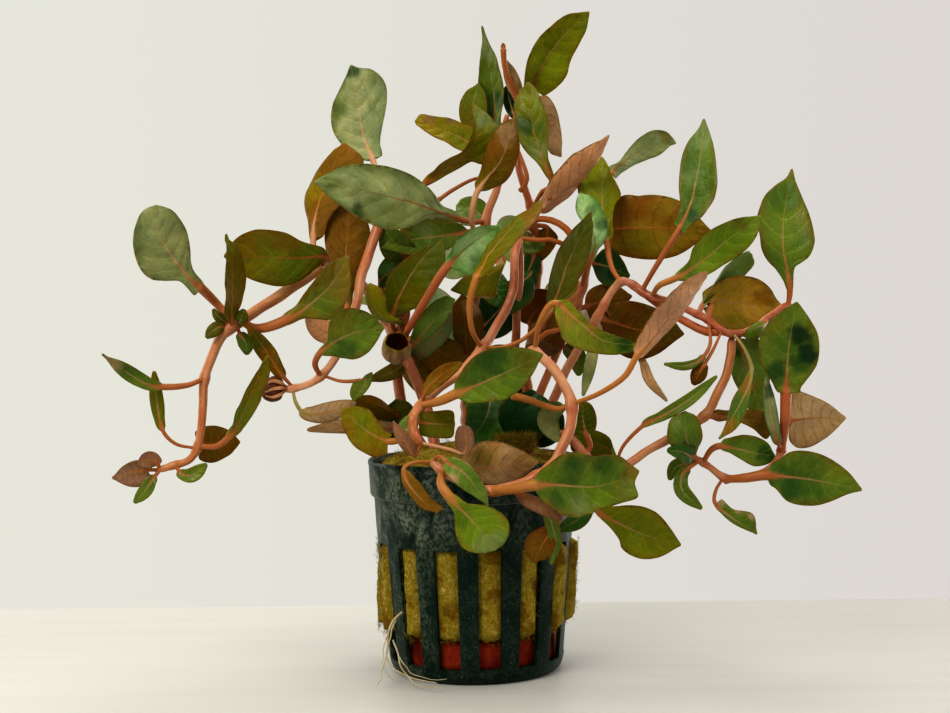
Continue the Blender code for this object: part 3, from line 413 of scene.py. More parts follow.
def makePiece(name, shape, slotName, nodes, smoothAngle=80):
    data = bpy.data.meshes.new(name)
    shape.to_mesh(data)
    shape.free()
    data.shade_smooth()
    data.set_sharp_from_angle(angle=math.radians(smoothAngle))
    data.materials.append(finishes[slotName])
    piece = bpy.data.objects.new(name, data)
    scene.collection.objects.link(piece)
    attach(piece, "root")
    if nodes:
        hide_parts(*nodes)
    return piece


def turnedShape(profile, steps):
    shape = bmesh.new()
    corners = [shape.verts.new((radius * mm, 0, height * mm)) for radius, height in profile]
    for first, second in zip(corners, corners[1:]):
        shape.edges.new((first, second))
    bmesh.ops.spin(shape, geom=shape.verts[:] + shape.edges[:], axis=(0, 0, 1), cent=(0, 0, 0),
                   angle=2 * math.pi, steps=steps, use_merge=True)
    bmesh.ops.remove_doubles(shape, verts=shape.verts, dist=0.01 * mm)
    bmesh.ops.recalc_face_normals(shape, faces=shape.faces)
    return shape


def outwardOf(place):
    return Vector((place.x, place.y, 0)).normalized()


# Pot: a slotted pot 50 mm wide and 50 mm high
pot = dict(slots=14, slotSteps=7, ribSteps=6, phase=8.7, slotBottom=3.5, slotTop=30.8, wallFrom=19, wall=1.0,
           uneven=0.12, edge=0.22, edgeAngle=50, outside=(
               (0, 0.5), (12, 0.5), (12.6, 0), (18.4, 0), (19.4, 0.35), (20.1, 1.1), (20.5, 2.2),
               (20.75, 3.5), (21.3, 10), (21.85, 17), (22.45, 24), (23.0, 30.8), (23.3, 35), (23.6, 40.6),
               (23.75, 41.4), (24.35, 41.65), (24.55, 42.1), (24.6, 43.5), (24.75, 46.5), (24.85, 48.6),
               (25.0, 49.1), (25.0, 49.7), (24.75, 50)))
slotPitch = 2 * math.pi / pot["slots"]


def slotShare(place):  # 0.5 in the middle of a slot, 0 and 1 in the middle of the ribs beside it
    return ((math.atan2(place.x, -place.y) - math.radians(pot["phase"])) / slotPitch + 0.5) % 1.0


def makePot():
    pitchSteps = pot["slotSteps"] + pot["ribSteps"]
    shape = turnedShape(pot["outside"], pot["slots"] * pitchSteps)
    turn = math.radians(pot["phase"] - 90) - slotPitch / 2
    bmesh.ops.rotate(shape, verts=shape.verts, cent=(0, 0, 0), matrix=Matrix.Rotation(turn, 3, "Z"))
    openings = []
    for face in shape.faces:
        middle = face.calc_center_median()
        isWall = pot["slotBottom"] * mm < middle.z < pot["slotTop"] * mm
        isWall = isWall and math.hypot(middle.x, middle.y) > pot["wallFrom"] * mm
        fromRib = slotShare(middle) * pitchSteps - pot["ribSteps"] / 2
        if isWall and 0 < fromRib < pot["slotSteps"]:
            openings.append(face)
    bmesh.ops.delete(shape, geom=openings, context="FACES")
    for vertex in shape.verts:
        wobble = noise.noise(vertex.co * 120) * pot["uneven"] * mm * ramp(vertex.co.z, 0.002, 0.02)
        vertex.co += outwardOf(vertex.co) * wobble
    piece = makePiece("potShell", shape, "pot_plastic", ("pot",), pot["edgeAngle"])
    wall = piece.modifiers.new("wall", "SOLIDIFY")
    wall.thickness = pot["wall"] * mm
    wall.offset = -1
    wall.use_even_offset = True
    edge = piece.modifiers.new("edge", "BEVEL")
    edge.width = pot["edge"] * mm
    edge.segments = 2
    edge.limit_method = "ANGLE"
    edge.angle_limit = math.radians(pot["edgeAngle"])


makePot()
print("pot made")

# Filling: rock wool that bulges into the slots, over a clay ring
wool = dict(steps=208, crown=53.5, drop=4, edge=21.4,
            foot=((0, 10.3), (8, 10.3), (14, 10.3), (18, 10.3), (19.6, 10.4), (20.2, 11)),
            wall=((20.3, 11), (21.7, 31.2)), wallRows=24,
            collar=((21.9, 34), (22.1, 38), (22.2, 41), (22.4, 44), (22.4, 46)),
            rings=(21.6, 20, 18, 16, 14, 12, 10, 8, 6, 4, 2, 0), bulgeLeft=(1.5, 2.7), bulgeRight=(2.7, 2.8),
            topFrom=46, wallFrom=19.5, tuft=dict(place=(0.0095, -0.0165), wide=0.0045, deep=0.003, high=3.4),
            grain=((260, 0.5), (900, 0.28)), slotSide=(0.14, 0.25), slotFoot=(0.0101, 0.0108),
            slotHead=(0.0295, 0.0312), hem=(0.0103, 0.0125))
clay = dict(steps=96, grain=((500, 0.25), (1500, 0.1)), profile=(
    (7, 1.8), (12, 1.8), (16.6, 1.8), (18.3, 2.6), (18.9, 3.6), (19, 4.6), (19, 5.6), (19, 6.6), (19, 7.6),
    (19, 8.4), (18.5, 9.2), (17.8, 9.7), (12, 9.7), (7, 9.7), (7, 6), (7, 1.8)))


def woolHeight(radius):
    return wool["crown"] - wool["drop"] * (radius / wool["edge"]) ** 2


def woolBulge(sideways, height):  # the wool swells out of the slots at both sides, lower down at the left
    low = 1 - ramp(height, 0.012, 0.03)
    if sideways < 0:
        return abs(sideways) ** 3 * mix(*wool["bulgeLeft"], low)
    return sideways ** 3 * mix(*wool["bulgeRight"], low) * ramp(height, 0.0105, 0.0125)


def makeWool():
    profile = list(wool["foot"])
    for step in range(1, wool["wallRows"] + 1):
        profile.append(blend(*wool["wall"], step / wool["wallRows"]))
    profile += wool["collar"]
    profile += [(radius, woolHeight(radius)) for radius in wool["rings"]]
    shape = turnedShape(profile, wool["steps"])
    tuft = wool["tuft"]
    for vertex in shape.verts:
        place = vertex.co
        rough = grainAt(place, wool["grain"])
        if place.z > wool["topFrom"] * mm:
            across, deep = tuft["place"]
            lump = bell((place.x - across) / tuft["wide"]) * bell((place.y - deep) / tuft["deep"])
            vertex.co.z += (rough * 1.3 + tuft["high"] * lump) * mm
        elif math.hypot(place.x, place.y) > wool["wallFrom"] * mm:
            outward = outwardOf(place)
            inSlot = 1 - ramp(abs(slotShare(place) - 0.5), *wool["slotSide"])
            level = ramp(place.z, *wool["slotFoot"]) * (1 - ramp(place.z, *wool["slotHead"]))
            push = inSlot * level * (0.35 + woolBulge(outward.x, place.z) + rough * 0.8)
            ragged = (1 - ramp(place.z, *wool["hem"])) * inSlot
            vertex.co += outward * (push + rough * 0.15) * mm
            vertex.co.z += ragged * (rough * 1.6 - 0.3) * mm
    makePiece("woolPlug", shape, "rock_wool", ("rock_wool",))


def makeClay():
    shape = turnedShape(clay["profile"], clay["steps"])
    for vertex in shape.verts:
        vertex.co += outwardOf(vertex.co) * grainAt(vertex.co, clay["grain"]) * mm
    makePiece("clayRing", shape, "clay", ("clay_ring",), 70)


def strandShape(sides, rings):  # one straight strand along Z, 0 to 1
    shape = bmesh.new()
    bmesh.ops.create_cone(shape, cap_ends=True, segments=sides, radius1=1, radius2=0.35, depth=1,
                          matrix=Matrix.Translation((0, 0, 0.5)))
    for ring in range(1, rings):
        bmesh.ops.bisect_plane(shape, geom=shape.verts[:] + shape.edges[:] + shape.faces[:],
                               plane_co=(0, 0, ring / rings), plane_no=(0, 0, 1))
    data = bpy.data.meshes.new("strand")
    shape.to_mesh(data)
    shape.free()
    return data


def addStrand(shape, template, start, heading, length, thickness, curl, seed):
    before = len(shape.verts)
    shape.from_mesh(template)
    shape.verts.ensure_lookup_table()
    across = heading.cross(Vector((0.3, 0.2, 1))).normalized()
    other = heading.cross(across)
    bendTo = (across * waver(seed, 1, 2) + other * waver(seed, 5, 3)) * 2
    for vertex in shape.verts[before:]:
        t = vertex.co.z
        centre = start + heading * (length * t) + bendTo * (curl * length * t * t)
        vertex.co = centre + (across * vertex.co.x + other * vertex.co.y) * thickness


def slotFibre(draw):
    slot = draw.randrange(pot["slots"])
    turn = math.radians(pot["phase"]) + (slot + draw.uniform(-0.25, 0.25)) * slotPitch
    height = draw.uniform(10.5, 31) if draw.random() > 0.25 else draw.uniform(9.6, 11.5)
    outward = Vector((math.sin(turn), -math.cos(turn), 0))
    tangent = Vector((math.cos(turn), math.sin(turn), 0))
    reach = mix(20.2, 21.7, (height - 10) / 21) + 0.2 + woolBulge(outward.x, height * mm)
    heading = tangent * draw.uniform(-1, 1) + Vector((0, 0, draw.uniform(-1, 0.7)))
    return outward * reach * mm + Vector((0, 0, height * mm)), heading + outward * draw.uniform(0.0, 0.35)


def topFibre(draw):
    turn = draw.uniform(0, 2 * math.pi)
    radius = 21.5 * math.sqrt(draw.random())
    start = Vector((math.sin(turn), -math.cos(turn), 0)) * radius * mm
    heading = Vector((draw.uniform(-1, 1), draw.uniform(-1, 1), draw.uniform(0.1, 0.9)))
    return start + Vector((0, 0, (woolHeight(radius) - 0.3) * mm)), heading


def tuftFibre(draw):
    start = seen(spotOf((draw.uniform(496, 536), draw.uniform(435, 450), draw.uniform(22, 24.5))))
    return start, Vector((draw.uniform(-0.6, 0.6), draw.uniform(-0.5, 0.2), draw.uniform(-0.2, 1)))


fibres = (
    dict(place=slotFibre, count=3000, length=(0.5, 1.5), thickness=(0.025, 0.06), curl=(0.1, 0.5), seed=0.37),
    dict(place=topFibre, count=1500, length=(1, 3), thickness=(0.03, 0.07), curl=(0.1, 0.5), seed=0.53),
    dict(place=tuftFibre, count=1500, length=(0.6, 1.6), thickness=(0.05, 0.1), curl=(0.1, 0.6), seed=0.61),
)


def makeWoolFibres():
    draw = random.Random(11)
    template = strandShape(3, 4)
    shape = bmesh.new()
    for kind in fibres:
        for number in range(kind["count"]):
            start, heading = kind["place"](draw)
            sizes = [draw.uniform(*kind[label]) for label in ("length", "thickness", "curl")]
            length, thickness, curl = sizes
            addStrand(shape, template, start, heading.normalized(), length * mm, thickness * mm, curl,
                      number * kind["seed"])
    makePiece("woolFibres", shape, "rock_wool", ())


makeWool()
makeClay()
makeWoolFibres()
print("filling made")

# Tones: the colours of a face, its patches and its margin, as they look in the picture, in thousandths
tones = {
    "green": ((48, 100, 5), (90, 145, 7), (120, 70, 4)),
    "deepGreen": ((8, 38, 3), (20, 70, 4), (50, 50, 4)),
    "brightGreen": ((90, 155, 2), (120, 200, 4), (150, 110, 4)),
    "freshGreen": ((90, 170, 12), (130, 230, 30), (100, 140, 20)),
    "greyGreen": ((145, 195, 55), (250, 280, 90), (60, 80, 18)),
    # The pale patch tone of glossyGreen paints the sheen of glossy leaves
    "glossyGreen": ((120, 300, 50), (320, 540, 200), (20, 90, 10)),
    "tawny": ((420, 220, 15), (340, 200, 10), (220, 80, 4)),
    "paleGreen": ((200, 270, 80), (300, 360, 120), (80, 120, 20)),
    "olive": ((105, 90, 2), (80, 115, 3), (110, 45, 3)),
    "darkOlive": ((75, 70, 2), (50, 70, 2), (80, 30, 2)),
    "yellowOlive": ((180, 130, 2), (150, 160, 3), (180, 70, 5)),
    "brightOlive": ((110, 120, 2), (140, 175, 3), (130, 70, 3)),
    "orangeOlive": ((210, 100, 6), (170, 70, 4), (140, 50, 4)),
    "amber": ((230, 135, 6), (170, 80, 4), (120, 45, 3)),
    "brown": ((150, 58, 2), (125, 75, 3), (100, 30, 2)),
    "orangeBrown": ((210, 75, 4), (200, 120, 6), (140, 40, 4)),
    "deepBrown": ((110, 40, 2), (90, 55, 3), (70, 18, 2)),
    "redBrown": ((170, 40, 3), (140, 60, 4), (100, 20, 3)),
    "rosyBrown": ((200, 85, 40), (290, 140, 70), (120, 40, 20)),
    "pinkBrown": ((540, 260, 125), (440, 210, 100), (300, 120, 55)),
    # A brighter copy of pinkBrown, painting light on the shaded leaf_top_7
    "palePink": ((820, 400, 190), (700, 340, 160), (450, 190, 90)),
    "paleBrown": ((470, 300, 140), (420, 260, 110), (300, 160, 70)),
    "warmBrown": ((280, 160, 40), (360, 210, 80), (190, 85, 20)),
    "greyBrown": ((380, 230, 110), (320, 190, 80), (220, 110, 45)),
    "darkRed": ((80, 12, 6), (150, 35, 18), (40, 5, 3)),
    # A near-black tone that paints shade: on filler leaves in dark gaps, and as dark marks on leaves
    "shadeBlack": ((2, 12, 2), (4, 25, 3), (10, 20, 3)),
    "ribPale": ((400, 200, 70), (400, 280, 120), (300, 160, 60)),
    "stalkRed": ((363, 76, 15), (440, 119, 30), (308, 60, 12)),
    "stalkOrange": ((418, 119, 18), (484, 162, 36), (330, 76, 12)),
    "stalkPale": ((594, 246, 108), (660, 297, 138), (495, 170, 66)),
    "stalkGreen": ((280, 200, 40), (340, 260, 60), (220, 130, 30)),
    "stemPink": ((561, 158, 47), (647, 238, 88), (403, 79, 19)),
    "stemOrange": ((488, 114, 17), (561, 176, 39), (342, 62, 8)),
    "stemRed": ((403, 66, 17), (488, 114, 33), (268, 35, 8)),
    "stemDark": ((300, 42, 10), (370, 70, 18), (200, 22, 5)),
    # The pale stem tone below is real on the rib of leaf_left_1, and painted highlight in the stems' tone
    # steps
    "stemPale": ((732, 290, 116), (830, 370, 165), (549, 158, 50)),
    "stemYellow": ((500, 220, 50), (600, 320, 90), (400, 140, 20)),
}
tones = {name: tuple(asSeen(channel / 1000 for channel in colour) for colour in palette)
         for name, palette in tones.items()}

# Stems: widths at start, middle and end in millimetres, tones at shares of the length, and picture places
# from the wool to the tip
# The pale steps in the stems' tones are painted highlights where light catches the stems
stems = {
    "stem_left_long": dict(wide=(2.6, 2.8, 1.6), tones=((0, "stemRed"), (0.4, "stemPink"),
        (0.55, "stemYellow"), (0.72, "stemPink"), (1, "stemOrange")), path=((436, 452, 4), (424, 400, -1),
        (400, 345, -4), (368, 292, -12), (350, 275, -13), (336, 264, -9), (325, 264, -3), (313, 273, 4),
        (297, 284, 8), (267, 304, 11), (240, 320, 13), (228, 330, 13.5), (216, 347, 14), (206, 371, 15),
        (203, 405, 15), (198, 446, 14), (189, 460, 14), (173, 466, 14), (158, 470, 14))),
    "stem_left_short": dict(wide=(2.6, 2.7, 1.6), tones=((0, "stemRed"), (0.5, "stemRed"),
        (0.66, "stemPink"), (1, "stemPale")), path=((424, 450, -8), (406, 420, -13), (398, 375, -15),
        (403, 320, -15), (408, 260, -12), (402, 212, -8), (390, 203, -5), (381, 218, -3), (371, 248, -1),
        (362, 275, 2), (357, 300, 5), (348, 330, 8), (337, 356, 10), (322, 375, 12), (309, 384, 14),
        (293, 388, 15), (283, 389, 15))),
    "stem_middle": dict(wide=(2.4, 2, 2.1), tones=((0, "stemRed"), (0.46, "stemPink"), (0.6, "stemRed"),
        (0.8, "stemPale"), (1, "stemOrange")), path=((500, 450, -4), (508, 400, -10), (515, 340, -14),
        (519, 285, -12), (520, 255, -8), (518, 242, -2), (515, 256, 4), (513, 290, 9), (505, 311, 13),
        (492, 334, 17), (485, 345, 19), (462, 371, 23), (440, 388, 25), (421, 405, 27), (413, 418, 29),
        (414, 434, 30), (420, 445, 31))),
    "stem_front_loop": dict(wide=(2.5, 2.3, 1.9), tones=((0, "stemRed"), (0.25, "stemOrange"),
        (0.35, "stemPale"), (0.6, "stemPink"), (1, "stemPink")), path=((512, 452, 6), (524, 425, 8),
        (528, 392, 12), (524, 364, 18), (531, 351, 23), (545, 360, 27), (560, 377, 30), (571, 403, 31),
        (571, 425, 32), (563, 445, 33), (550, 467, 34), (530, 480, 35), (510, 487, 35), (493, 491, 35),
        (470, 486, 34), (447, 475, 33), (432, 461, 32))),
    "stem_upper_left": dict(wide=(2.6, 2.3, 1.6), tones=((0, "stemRed"), (0.6, "stemPink"),
        (0.8, "stemPink"), (1, "stemRed")), path=((470, 448, -6), (466, 400, -14), (470, 340, -20),
        (478, 280, -16), (483, 235, -12), (488, 212, -11), (497, 188, -11), (500, 165, -12),
        (503, 140, -13), (507, 115, -13))),
    "stem_top": dict(wide=(2.5, 2, 1.5), tones=((0, "stemRed"), (0.7, "stemOrange"), (1, "stemRed")),
        path=((505, 448, -12), (520, 400, -24), (532, 330, -28), (538, 270, -24), (534, 225, -18),
        (526, 190, -15), (518, 166, -15), (516, 140, -17), (520, 112, -17), (526, 97, -17))),
    "stem_centre_right": dict(wide=(2.4, 2, 1.6), tones=((0, "stemRed"), (0.6, "stemPink"), (1, "stemRed")),
        path=((516, 449, -8), (535, 405, -12), (560, 345, -10), (577, 305, -6), (583, 285, -4),
        (588, 262, -4), (589, 240, -6), (586, 222, -8))),
    "stem_right_long": dict(wide=(2.3, 1.55, 1.6), tones=((0, "stemRed"), (0.27, "stemPale"),
        (0.36, "stemDark"), (0.55, "stemRed"), (0.75, "stemPink"), (1, "stemPink")), path=((526, 450, -2),
        (548, 410, 0), (572, 360, 4), (590, 330, 8), (600, 312, 10), (613, 290, 11), (624, 281, 12),
        (645, 293, 14), (670, 302, 16), (700, 316, 17), (724, 331, 18), (745, 332, 15), (768, 318, 11),
        (786, 306, 8), (795, 318, 5), (793, 350, 6), (788, 390, 9), (784, 425, 11), (781, 452, 13),
        (767, 470, 15), (742, 477, 17), (725, 479, 18), (710, 467, 19), (695, 458, 20))),
    "stem_right_low": dict(wide=(2.4, 1.9, 2.1), tones=((0, "stemRed"), (0.5, "stemPink"),
        (0.78, "stalkOrange"), (1, "stemOrange")), path=((528, 450, 9), (550, 434, 12), (572, 440, 17),
        (590, 462, 21), (606, 476, 24), (629, 463, 25), (650, 449, 25), (672, 437, 25), (703, 417, 24),
        (716, 397, 22), (726, 376, 19), (731, 356, 17), (731, 338, 16))),
}


def grow(front, line, *edges, **more):  # a leaf by its tone in front, its line and its left and right edge
    return dict(more, front=front, line=line, edges=edges)


def twig(wide, *line, front="stalkRed", stalkTone="stalkRed"):  # a bare twig
    return grow(front, line, wide=1.5, cup=0.15, stalk=0.95, stalkWide=wide, stalkTone=stalkTone)


# Leaves: the line runs from the stem to the tip. The foot is where the blade starts; without one, stalk is
# the stalk's share of the line. Widths are in millimetres, roll is the blade's turn in degrees, and a mark
# is (across, down, reach, tone, strength).
leaves = {
    "leaf_left_1": grow("greyGreen", ((232, 322, 12), (218, 305, 12), (201, 288, 15), (186, 274, 17),
        (168, 250, 20), (157, 229, 23), (156, 205, 24)), ((197, 292), (190, 287), (180, 281), (166, 280),
        (152, 278), (140, 267), (134, 251), (133, 236), (137, 221), (144, 210)), ((195, 275), (191, 262),
        (190, 247), (187, 231), (181, 218), (172, 209)), on="stem_left_long", back="pinkBrown",
        rib="stemPale", stalkWide=2.2, roll=10, crinkle=0.7, foot=(201, 288)),
    "leaf_left_2": grow("olive", ((330, 262, 0), (324, 257, 8), (298, 258, 12), (262, 257, 15),
        (224, 256, 17)), ((314, 268), (303, 278), (291, 284), (278, 286), (262, 283), (246, 277),
        (232, 266)), ((321, 249), (299, 240), (284, 232), (265, 229), (250, 230), (236, 238)),
        on="stem_left_long", rib="stalkRed", roll=10, cup=0.12, foot=(330, 257),
        marks=((285, 238, 22, "brown", 0.6), (245, 243, 18, "brown", 0.4), (270, 272, 12, "brown", 0.3))),
    "leaf_left_3": grow("olive", ((234, 326, 16), (232, 310, 20), (232, 280, 24), (231, 255, 27),
        (226, 234, 28)), ((223, 313), (221, 295), (220, 280), (221, 262), (224, 246)), ((232, 318),
        (237, 303), (240, 290), (241, 275), (240, 262), (235, 248), (229, 240)), on="stem_left_long",
        roll=-64, cup=0.2, foot=(230, 322), marks=((233, 280, 40, "brown", 0.5),)),
    "leaf_left_4": grow("olive", ((244, 321, 15), (254, 328, 18), (268, 327, 20), (288, 319, 20),
        (308, 306, 20), (330, 286, 17), (349, 256, 13)), ((291, 312), (297, 304), (303, 294), (314, 279),
        (330, 262)), ((300, 318), (315, 319), (330, 320), (342, 308), (350, 285)), on="stem_left_long",
        stalkWide=2.4, roll=-10, cup=0.2, foot=(285, 321), marks=((332, 280, 26, "brown", 0.45),
        (320, 300, 12, "green", 0.4))),
    "leaf_left_5": grow("deepBrown", ((347, 325, 6), (345, 300, 3), (345, 270, 1), (347, 235, -4),
        (350, 195, -9)), ((336, 288), (329, 262), (325, 241), (326, 224), (331, 207)), ((354, 290),
        (364, 270), (370, 252), (371, 232), (365, 212)), on="stem_left_short", back="green", roll=-10,
        cup=-0.1, foot=(345, 315), marks=((338, 235, 26, "brown", 0.6),)),
    "leaf_left_6": grow("brown", ((314, 272, 3), (313, 246, 0), (316, 218, -4), (325, 190, -8),
        (345, 143, -13)), ((309, 225), (304, 208), (304, 195), (310, 179), (321, 162), (332, 150)),
        ((321, 235), (330, 215), (345, 195), (358, 175), (361, 156)), on="stem_left_long", back="green",
        stalkTone="stalkPale", roll=30, cup=-0.15, foot=(312, 240),
        marks=((312, 190, 18, "yellowOlive", 0.7), (345, 150, 14, "orangeBrown", 0.7))),
    "leaf_left_7": grow("paleGreen", ((486, 224, -9), (463, 220, -4), (437, 211, 4), (400, 199, 12),
        (355, 189, 19), (315, 182, 23)), ((450, 219), (441, 219), (429, 218), (416, 222), (400, 227),
        (386, 228), (371, 224), (355, 216), (338, 204), (325, 193)), ((452, 212), (443, 207), (433, 194),
        (423, 183), (408, 173), (385, 165), (363, 163), (342, 166), (325, 174)), on="stem_upper_left",
        back="pinkBrown", rib="stalkRed", roll=12, crinkle=1.1, foot=(462, 221),
        marks=((356, 211, 9, "deepGreen", 0.8),)),
    "leaf_left_8": grow("greyGreen", ((388, 204, -7), (382, 185, -11), (372, 158, -16), (363, 134, -20),
        (358, 103, -23), (351, 65, -25)), ((364, 160), (350, 153), (337, 140), (332, 128), (331, 117),
        (333, 105), (338, 93), (344, 80)), ((380, 157), (380, 144), (384, 122), (387, 103), (386, 86),
        (380, 76), (371, 70), (359, 68)), on="stem_left_short", back="pinkBrown", rib="stalkPale",
        stalkTone="stalkPale", roll=-5, cup=0.12, crinkle=0.9, foot=(371, 160),
        marks=((338, 110, 12, "green", 0.7), (352, 72, 9, "deepGreen", 0.8), (380, 110, 12, "green", 0.4))),
    "leaf_left_9": grow("green", ((321, 374, 13), (315, 364, 16), (320, 353, 18), (335, 341, 20),
        (356, 332, 21), (384, 328, 20)), ((328, 341), (329, 327), (333, 314), (347, 307), (363, 310),
        (376, 318)), ((340, 357), (355, 358), (366, 353), (376, 342)), on="stem_left_short", roll=-12,
        crinkle=0.6, foot=(320, 353), marks=((340, 318, 22, "olive", 0.8),
        (345, 350, 15, "deepGreen", 0.6))),
    "leaf_left_10": grow("yellowOlive", ((200, 446, 14), (217, 446, 16), (231, 434, 18), (245, 408, 20),
        (257, 382, 21), (268, 355, 22)), ((231, 428), (232, 412), (241, 395), (250, 380), (261, 363)),
        ((238, 431), (246, 420), (252, 410), (259, 398), (265, 383), (269, 370)), on="stem_left_long",
        back="olive", roll=-50, cup=0.3, foot=(228, 438), marks=((240, 415, 16, "brightGreen", 0.7),)),
    "leaf_left_11": grow("green", ((203, 378, 16), (188, 385, 18), (165, 387, 20), (148, 384, 21.5),
        (126, 372, 24), (102, 354, 28)), ((150, 390), (138, 386), (126, 380), (115, 371), (108, 362)),
        ((154, 380), (138, 369), (123, 361), (109, 357)), on="stem_left_long", back="pinkBrown", roll=20,
        cup=0.3, foot=(162, 387), marks=((112, 364, 12, "greyBrown", 0.6),)),
    "leaf_left_12": grow("brown", ((198, 447, 12), (207, 445, 9.5), (222, 443, 7), (240, 442, 5)),
        ((196, 433), (204, 427), (218, 426), (232, 432)), ((202, 459), (212, 463), (224, 459), (234, 452)),
        on="stem_left_long", back="olive", stalk=0.1, roll=-10, cup=-0.15),
    "leaf_top_1": grow("yellowOlive", ((500, 146, -14), (480, 146, -15), (450, 133, -14), (415, 121, -12)),
        ((478, 157), (456, 150), (443, 143), (429, 136), (418, 127)), ((478, 132), (461, 124), (449, 119),
        (433, 117), (420, 115)), on="stem_upper_left", back="yellowOlive", roll=-30, cup=0.2,
        foot=(486, 146), marks=((449, 119, 8, "rosyBrown", 0.6), (428, 117, 8, "rosyBrown", 0.6),
        (460, 140, 12, "brightOlive", 0.6))),
    "leaf_top_2": grow("green", ((499, 182, -13), (500, 160, -19), (496, 138, -22), (494, 95, -22),
        (482, 26, -16)), ((488, 135), (482, 115), (480, 95), (480, 70), (482, 45)), ((501, 126), (505, 106),
        (506, 90), (502, 70), (498, 56), (490, 44)), on="stem_upper_left", back="pinkBrown", roll=40,
        cup=0.2, foot=(496, 140), marks=((498, 100, 12, "deepGreen", 0.7), (487, 115, 8, "deepGreen", 0.5),
        (484, 45, 16, "greyGreen", 0.9), (494, 56, 8, "greyGreen", 0.7))),
    "leaf_top_3": grow("yellowOlive", ((403, 205, -8), (412, 196, -7), (424, 184, -6), (452, 165, -4),
        (474, 142, -3), (475, 105, -4)), ((436, 166), (449, 156), (463, 148), (470, 134), (473, 119)),
        ((438, 178), (457, 168), (472, 160), (482, 163), (489, 146), (497, 127), (488, 115)),
        on="stem_left_short", roll=-30, cup=0.2, foot=(424, 184), marks=((450, 165, 22, "stalkGreen", 0.35),
        (484, 118, 15, "greyGreen", 0.9))),
    "leaf_top_4": grow("brown", ((483, 241, -10), (473, 228, 0), (472, 212, 3), (478, 190, 3),
        (500, 160, 1), (514, 118, -1)), ((477, 184), (481, 172), (487, 149), (496, 131), (504, 122)),
        ((490, 189), (504, 184), (514, 172), (521, 153), (520, 140), (517, 126)), on="stem_upper_left",
        back="olive", rib="stalkPale", stalkTone="stalkPale", stalkWide=1.4, roll=-28, cup=-0.15,
        foot=(478, 190), marks=((505, 132, 16, "greyBrown", 0.55), (485, 180, 12, "olive", 0.5))),
    "leaf_top_5": grow("brightOlive", ((527, 97, -17), (531, 90, -16), (542, 66, -13), (562, 38, -10),
        (589, 12, -6)), ((523, 98), (524, 84), (525, 71), (528, 57), (536, 41), (550, 26), (568, 14)),
        ((542, 94), (555, 88), (566, 75), (571, 59), (579, 44), (587, 28)), on="stem_top", stalk=0.1,
        roll=-10, cup=0.12),
    "leaf_top_6": grow("brightOlive", ((534, 210, -14), (546, 201, -10), (552, 181, -7), (541, 155, -6),
        (533, 125, -7), (528, 82, -9)), ((538, 163), (527, 151), (519, 136), (517, 121), (516, 106),
        (520, 92)), ((549, 160), (549, 140), (550, 122), (545, 102), (537, 88)), on="stem_top",
        back="olive", roll=35, cup=0.2, foot=(551, 179), marks=((526, 126, 12, "deepGreen", 0.75),
        (540, 150, 14, "greyGreen", 0.6), (540, 128, 9, "green", 0.7))),
    # leaf_top_7 takes a brightened pinkBrown that paints light on it
    "leaf_top_7": grow("palePink", ((535, 219, -15), (545, 206, -9), (561, 192, -5), (583, 170, -2),
        (609, 135, 0)), ((541, 203), (545, 193), (554, 178), (569, 162), (580, 153), (595, 144)),
        ((545, 212), (557, 207), (572, 198), (584, 184), (595, 169), (604, 152)), on="stem_top",
        back="olive", rib="stalkPale", stalkTone="stalkPale", roll=-45, cup=-0.2, foot=(541, 211),
        marks=((575, 178, 48, "stalkPale", 0.55),)),
    "leaf_top_8": grow("paleGreen", ((586, 225, -8), (597, 196, -14), (612, 173, -18), (630, 157, -21),
        (650, 146, -24), (676, 143, -26)), ((606, 172), (611, 166), (619, 160), (630, 146), (639, 137),
        (648, 131), (656, 129), (666, 131), (672, 137)), ((613, 177), (625, 170), (634, 165), (648, 159),
        (659, 154), (668, 147)), on="stem_centre_right", back="pinkBrown", roll=-30, foot=(612, 173),
        marks=((665, 135, 9, "yellowOlive", 0.6),)),
    "leaf_top_9": grow("brightOlive", ((620, 281, 12), (612, 268, 9), (607, 243, 2.5), (602, 200, -5),
        (602, 157, -10)), ((602, 235), (597, 222), (589, 210), (580, 198), (579, 184), (588, 168)),
        ((612, 235), (613, 220), (616, 206), (622, 198), (618, 186), (612, 175), (608, 165)),
        on="stem_right_long", roll=15, cup=0.2, foot=(607, 243)),
    "leaf_top_10": grow("glossyGreen", ((583, 290, -1), (587, 268, 4), (594, 243, 7.5), (590, 218, 7.5),
        (580, 193, 6)), ((588, 257), (589, 240), (587, 227), (578, 222), (573, 212), (575, 201)),
        ((592, 258), (597, 249), (604, 239), (606, 229), (603, 217), (596, 205), (587, 196)),
        on="stem_centre_right", back="green", roll=-38, cup=0.35, foot=(589, 260),
        marks=((600, 225, 8, "deepGreen", 0.7), (590, 210, 6, "deepGreen", 0.5))),
    "leaf_middle_1": grow("olive", ((483, 344, 21), (472, 330, 24), (470, 300, 26), (480, 270, 26),
        (505, 235, 22), (541, 201, 15)), on="stem_middle", back="green", stalkTone="stalkOrange",
        stalk=0.42, wide=9, roll=60, cup=-0.2, marks=((530, 213, 16, "brown", 0.8),
        (478, 285, 18, "brown", 0.4))),
    "leaf_middle_2": grow("glossyGreen", ((400, 347, -3), (404, 337, 4), (415, 318, 8), (428, 296, 12),
        (446, 268, 15), (470, 245, 16), (499, 226, 15)), ((449, 258), (452, 245), (460, 234), (472, 227),
        (486, 225)), ((460, 270), (470, 274), (482, 268), (492, 254), (498, 240)), on="stem_left_long",
        rib="olive", stalkTone="stemRed", stalkWide=2.1, roll=-25, cup=0.2, foot=(449, 265),
        marks=((478, 262, 12, "deepGreen", 0.6),)),
